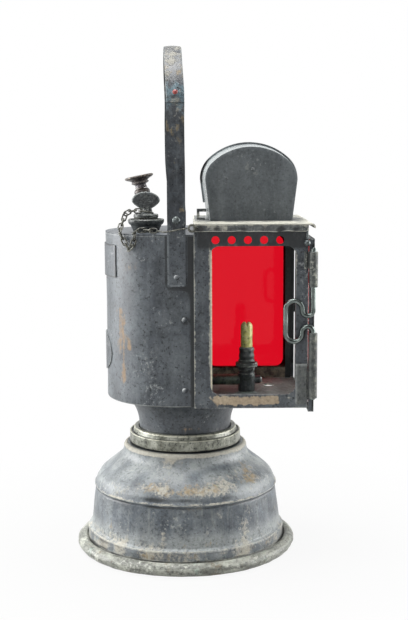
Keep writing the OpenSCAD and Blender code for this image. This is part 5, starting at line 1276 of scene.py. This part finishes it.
# the ends of the grip are hammered thin from outside
out = p[:, 1:] - [0, archZ]
radius = np.linalg.norm(out, axis=1)
thin = 1 - ramp(np.degrees(np.arctan2(out[:, 1], np.abs(out[:, 0]))), grip["from"], grip["thinTo"])
hammered = thin * grip["thin"] * np.maximum(radius - gripIn - grip["least"], 0)
p[:, 1:] -= out / radius[:, None] * hammered[:, None]
p[:, 0] += bailBend(p)
z = p[:, 2]
mark(band, 1, dust=0.24 + 0.46 * ramp(z, 362, 372) + 0.3 * ripple(p, 9, 86))
mark(band, 0.75, bare=0.62 * spot(z, 363, 5) + 0.3 * ripple(p, 7, 87))
mark(band, 0.8, green=0.75 * spot(z, 346, 9) + 0.1 * ripple(p, 6, 88), dirt=0.18 + 0.36 * ripple(p, 8, 89))
makePiece("gripBand", [band], "bail", ["bail_grip"], strapPaint)

pins = {
    "shank": 2.2, "headR": 3.0, "headH": 1.6, "headY": 59.1, "lugY": 54.0, "gripA": 24.0, "studR": 2.0,
    "studH": 1.2, "sunk": 0.1}
shankL = pins["headY"] - pins["lugY"]
shankLine = fine([(0, 0), (pins["shank"], 0), (pins["shank"], shankL), (0, shankL)], 1)
headLine = domeLine(pins["headR"], pins["headH"])
heads = []
for outward, inward, flip in ((faceNear, faceFar, -1), (faceFar, faceNear, 1)):
    inner, outer = ((strapX, flip * pins[key], pivotZ) for key in ("lugY", "headY"))
    heads += [
        lathe(shankLine, 32, False, outward, inner), lathe(headLine, 40, False, outward, outer),
        lathe(headLine, 40, False, inward, inner)]
gripHeads = []
for angle in (180 + pins["gripA"], 360 - pins["gripA"]):
    radial = np.array([0, np.cos(np.radians(angle)), -np.sin(np.radians(angle))])
    headTurn = np.stack([[1, 0, 0], np.cross(radial, [1, 0, 0]), radial], 1)
    place = np.array([strapX, 0, archZ]) + (gripIn + gripT - pins["sunk"]) * radial
    head = lathe(domeLine(pins["studR"], pins["studH"]), 32, False, headTurn, place)
    head["points"][:, 0] += bailBend(head["points"].mean(0)[None])
    gripHeads.append(head)
makePiece("gripRivets", gripHeads, "bail", ["grip_rivets"], rivetRed)
makePiece("pivotRivets", heads, "head", ["pivot_rivets"], greySteel)
print("handle made")


# burner and gas pipe

burner = {
    "x": 48.0, "floorZ": 120.239, "bodyR": 6.6, "bodyH": 19.3, "flangeR": 8.6, "flangeT": 3.9, "groove": 0.7,
    "holderH": 11.4, "tipR": 4.55, "tipH": 19.6, "gasZ": 129.039, "stubR": 2.95, "stubL": 11.6, "slitW": 0.55,
    "slitDeep": 1.6}
bodyR, bodyH, flangeR, flangeT, groove = (
    burner[key] for key in ("bodyR", "bodyH", "flangeR", "flangeT", "groove"))
holderH, tipR, tipH, stubR, stubL = (burner[key] for key in ("holderH", "tipR", "tipH", "stubR", "stubL"))
flangeZ = burner["floorZ"] + bodyH
holderZ = flangeZ + flangeT
tipZ = holderZ + holderH


def onBurner(line, bend, step, turns, z):
    return lathe(softLine(line, bend, step), turns, False, upright, (burner["x"], 0, z))


body = onBurner([
    (0, -bodyH), (bodyR, -bodyH), (bodyR, -5.2), (bodyR - groove, -4.6), (bodyR - groove, -3.2), (bodyR, -2.6),
    (bodyR, 0), (flangeR, 0.4), (flangeR, 1.6), (flangeR - groove, 2.0), (flangeR, 2.4), (flangeR - 0.4, 3.5),
    (5, flangeT), (0, flangeT)],
    [0, 0.6, 0.3, 0.3, 0.3, 0.3, 0.3, 0.4, 0.3, 0.3, 0.3, 0.5, 0.3, 0], 0.7, 64, flangeZ)
stubLine = softLine(
    [(0, 0), (stubR, 0), (stubR, stubL - 1), (2.2, stubL), (0, stubL)], [0, 0, 0.5, 0.5, 0], 0.7)
stub = lathe(stubLine, 40, False, [[0, 0, 1], [0, 1, 0], [-1, 0, 0]], (burner["x"], 0, burner["gasZ"]))
makePiece("burnerBody", [body, stub], "head", ["burner_body"], sootIron)
holder = onBurner([
    (0, 0), (6.4, 0), (6.4, 1.4), (5.6, 2.0), (6.1, 4.4), (5.55, 6.6), (5.55, 8.2), (5.9, 9.0), (5.55, 10.8),
    (4.95, holderH), (0, holderH)], [0, 0.3, 0.4, 0.4, 0.8, 0.6, 0.4, 0.4, 0.4, 0.4, 0], 0.5, 64, holderZ)
makePiece("burnerHolder", [holder], "head", ["burner_holder"], sootIron)
tip = onBurner(
    [(0, 0), (tipR, 0), (tipR, tipH - 2.6), (2.6, tipH), (0, tipH)], [0, 0.2, 1.6, 1.6, 0], 0.5, 72, tipZ)
p = tip["points"]
slit = ramp(p[:, 2] - tipZ, tipH - 3.2, tipH - 2.4) * spot(p[:, 0], burner["x"], burner["slitW"])
p[:, 2] -= burner["slitDeep"] * slit
makePiece("burnerTip", [tip], "head", ["burner_tip"], tipBrass)


def bentWire(spine, y, radius, turns):
    # a round bar along a line of x and z, at one y
    x, z = spine.T
    return sweep(np.stack([x, np.full_like(x, y), z], -1), ring(radius, turns), (0, 1, 0))


pipe = {"x": 14.8, "lowZ": 115.039, "bend": 5.95, "endX": 44.4, "radius": 3.95}
pipeX, pipeZ = pipe["x"], burner["gasZ"]
bendX, bendZ = pipeX + pipe["bend"], pipeZ - pipe["bend"]
spine = np.vstack([
    fine([(pipeX, pipe["lowZ"]), (pipeX, bendZ)], 2)[:-1], arc((bendX, bendZ), pipe["bend"], 180, 90, 14),
    fine([(bendX, pipeZ), (pipe["endX"], pipeZ)], 2)[1:]])
makePiece("gasPipe", [bentWire(spine, 0, pipe["radius"], 40)], "head", ["gas_pipe"], pipeBrass)
print("burner made")


# door, hinge and wire pin

door = {
    "x0": 90.2, "x1": 94.2, "y0": -56.0, "y1": 56.7, "z0": 115.739, "z1": 242.339, "corner": 1.0, "sheet": 1.2,
    "winY": 44.0, "rail": 11.3, "winR": 6.5}
doorX0, doorX1, doorZ0, doorZ1, doorT = (door[key] for key in ("x0", "x1", "z0", "z1", "sheet"))
doorWindow = roundRect(-door["winY"], doorZ0 + door["rail"], door["winY"], doorZ1 - door["rail"], door["winR"])
doorLine = roundRect(door["y0"], doorZ0, door["y1"], doorZ1, door["corner"])
doorFace = cutSheet(doorLine, [doorWindow], doorT, 2.4, lambda u, v, depth: (doorX1 - depth, u, v))
# the tray's wall: a flat bar carried round the outline, across it along the outline's normal
rimPath = fine(doorLine, 2.5, True)
rimSide = softLine([(0, doorX0), (0, doorX1 - 0.3), (-doorT, doorX1 - 0.3), (-doorT, doorX0)], 0.15, 1.0, True)
along = np.roll(rimPath, -1, 0) - np.roll(rimPath, 1, 0)
normal = along[:, ::-1] * [1, -1] / np.linalg.norm(along, axis=1)[:, None]
rimAt = rimPath[:, None] + normal[:, None] * rimSide[None, :, :1]
rimX = np.repeat(rimSide[None, :, 1:], len(rimPath), 0)
rimWall = {
    "points": np.concatenate([rimX, rimAt], -1).reshape(-1, 3),
    "faces": gridFaces(len(rimPath), len(rimSide), True, True)}
for part in (doorFace, rimWall):
    mark(part, 1, dust=0.25 * ripple(part["points"], 20, 91))
makePiece("doorTray", [doorFace, rimWall], "door", ["door_frame"], tankPaint)

hinge = {
    "x": 92.9, "y": -60.0, "knuckleR": 3.25, "boreR": 1.85, "wireR": 1.8, "doorLow": (146.939, 174.739),
    "doorHigh": (207.939, 220.739), "doorHighLeaf": (207.939, 220.439), "boxLow": (126.939, 146.739),
    "boxHigh": (220.939, 233.439), "boxLeaf": (121.939, 151.739), "doorX": (91.7, 94.1), "lowX": (80.8, 89.3),
    "highX": (86.5, 89.5), "bridgeX": (88.3, 91.2), "doorY": (-57.6, -56.0), "boxY": (-58.2, -57.0), "cutX": 81.2,
    "cutZ": 151.2}
hingeX, hingeY, knuckleR, boreR = (hinge[key] for key in ("x", "y", "knuckleR", "boreR"))


def knuckle(span, seed):
    low, high = hinge[span]
    line = softLine(
        [(boreR, low), (knuckleR, low), (knuckleR, high), (boreR, high)], [0, 0.35, 0.35, 0], 1.2, True)
    tube = lathe(line, 40, True, upright, (hingeX, hingeY, 0))
    side = tube["points"][:, 0] - hingeX
    # dust, thicker towards the right flank as a painted highlight, and painted shade on the left flank
    mark(tube, 0.9, dust=0.28 + 0.24 * ramp(side, -1, 2) + 0.3 * ripple(tube["points"], 6, seed),
         dirt=0.8 * ramp(-side, 1.7, 2.9))
    return tube


def leafBar(wide, deep, span):
    part = upBar(*hinge[wide], *hinge[deep], *hinge[span], 0.2, 1.5)
    mark(part, 1, dust=0.2 + 0.3 * ripple(part["points"], 9, 93))
    return part


doorKnuckles = [
    knuckle("doorLow", 94), knuckle("doorHigh", 95), leafBar("doorX", "doorY", "doorLow"),
    leafBar("doorX", "doorY", "doorHighLeaf")]
makePiece("doorKnuckles", doorKnuckles, "door", ["door_knuckles"], knucklePaint)
# the lower leaf keeps its paint and shows a bright cut edge
lowLeaf = leafBar("lowX", "boxY", "boxLeaf")
x, y, z = lowLeaf["points"].T
lowLeaf["dustMark"] *= 0.3
mark(lowLeaf, 1, film=0.16 + 0.9 * (z > hinge["cutZ"]) + 0.5 * (x < hinge["cutX"]))
boxKnuckles = [
    knuckle("boxLow", 96), knuckle("boxHigh", 97), lowLeaf, leafBar("highX", "boxY", "boxHigh"),
    leafBar("bridgeX", "boxY", "boxLow"), leafBar("bridgeX", "boxY", "boxHigh")]
makePiece("boxKnuckles", boxKnuckles, "head", ["box_knuckles"], knucklePaint)

pin = {
    "lowZ": 125.939, "bendZ": 175.539, "bendR": 3.9, "loopR": 6.0, "loopH": 17.6, "overlap": 1.0, "topZ": 234.939}
bendR, loopR, bendZ = pin["bendR"], pin["loopR"], pin["bendZ"]
bendX = hingeX - bendR
loopX = bendX - bendR - loopR
loopLow = bendZ - pin["overlap"]
loopTop = loopLow + pin["loopH"]
bendTop = loopTop - pin["overlap"]
spine = np.vstack([
    fine([(hingeX, pin["lowZ"]), (hingeX, bendZ)], 3)[:-1], arc((bendX, bendZ), bendR, 0, 180, 20),
    arc((loopX, loopLow), loopR, 360, 180, 28), arc((loopX, loopTop), loopR, 180, 0, 28),
    arc((bendX, bendTop), bendR, 180, 360, 20), fine([(hingeX, bendTop), (hingeX, pin["topZ"])], 3)[1:]])
pinWire = bentWire(spine, hingeY, hinge["wireR"], 24)
pinTop = lathe(arc((0, 0), hinge["wireR"], -90, 90, 14), 24, False, upright, (hingeX, hingeY, pin["topZ"]))
makePiece("wirePin", [pinWire, pinTop], "pin", ["hinge_pin"], pinSteel)
bead = {"x": 88.4, "y": -59.6, "topZ": 248.5, "ballZ": 239.6, "ballR": 2.4, "wireR": 0.75, "bulgeR": 1.3}
ballZ, thinR, topZ = bead["ballZ"], bead["wireR"], bead["topZ"]
hanger = softLine([
    (thinR, ballZ + 2.4), (bead["bulgeR"], ballZ + 3.4), (thinR, ballZ + 4.4), (thinR, topZ), (0, topZ)], 0.4, 0.5)
beadLine = np.vstack([arc((0, ballZ), bead["ballR"], -90, 70, 16), hanger])
drop = lathe(beadLine, 32, False, upright, (bead["x"], bead["y"], 0))
makePiece("sealBead", [drop], "head", [], greySteel)
print("door made")


# the solids that stay as they are get their finishes

finishes = {
    "base_plate": darkTin, "neck_gasket": gasketRubber, "tank_floor": darkTin, "tank_lid": tankPaint,
    "plug_seal": gasketRubber, "valve_spindle": oldBrass, "drip_tube": oldBrass, "partition": darkTin,
    "front_lintel": tankPaint, "glass_guides": darkTin, "chimney_collar": hoodPaint, "hood_stay": roofPaint,
    "door_glass": clearGlass, "glass_clips": tanSteel, "door_catch": greySteel}
for node, finish in finishes.items():
    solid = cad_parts[node]
    solid.data.materials.clear()
    solid.data.materials.append(finish)
print("finishes set")
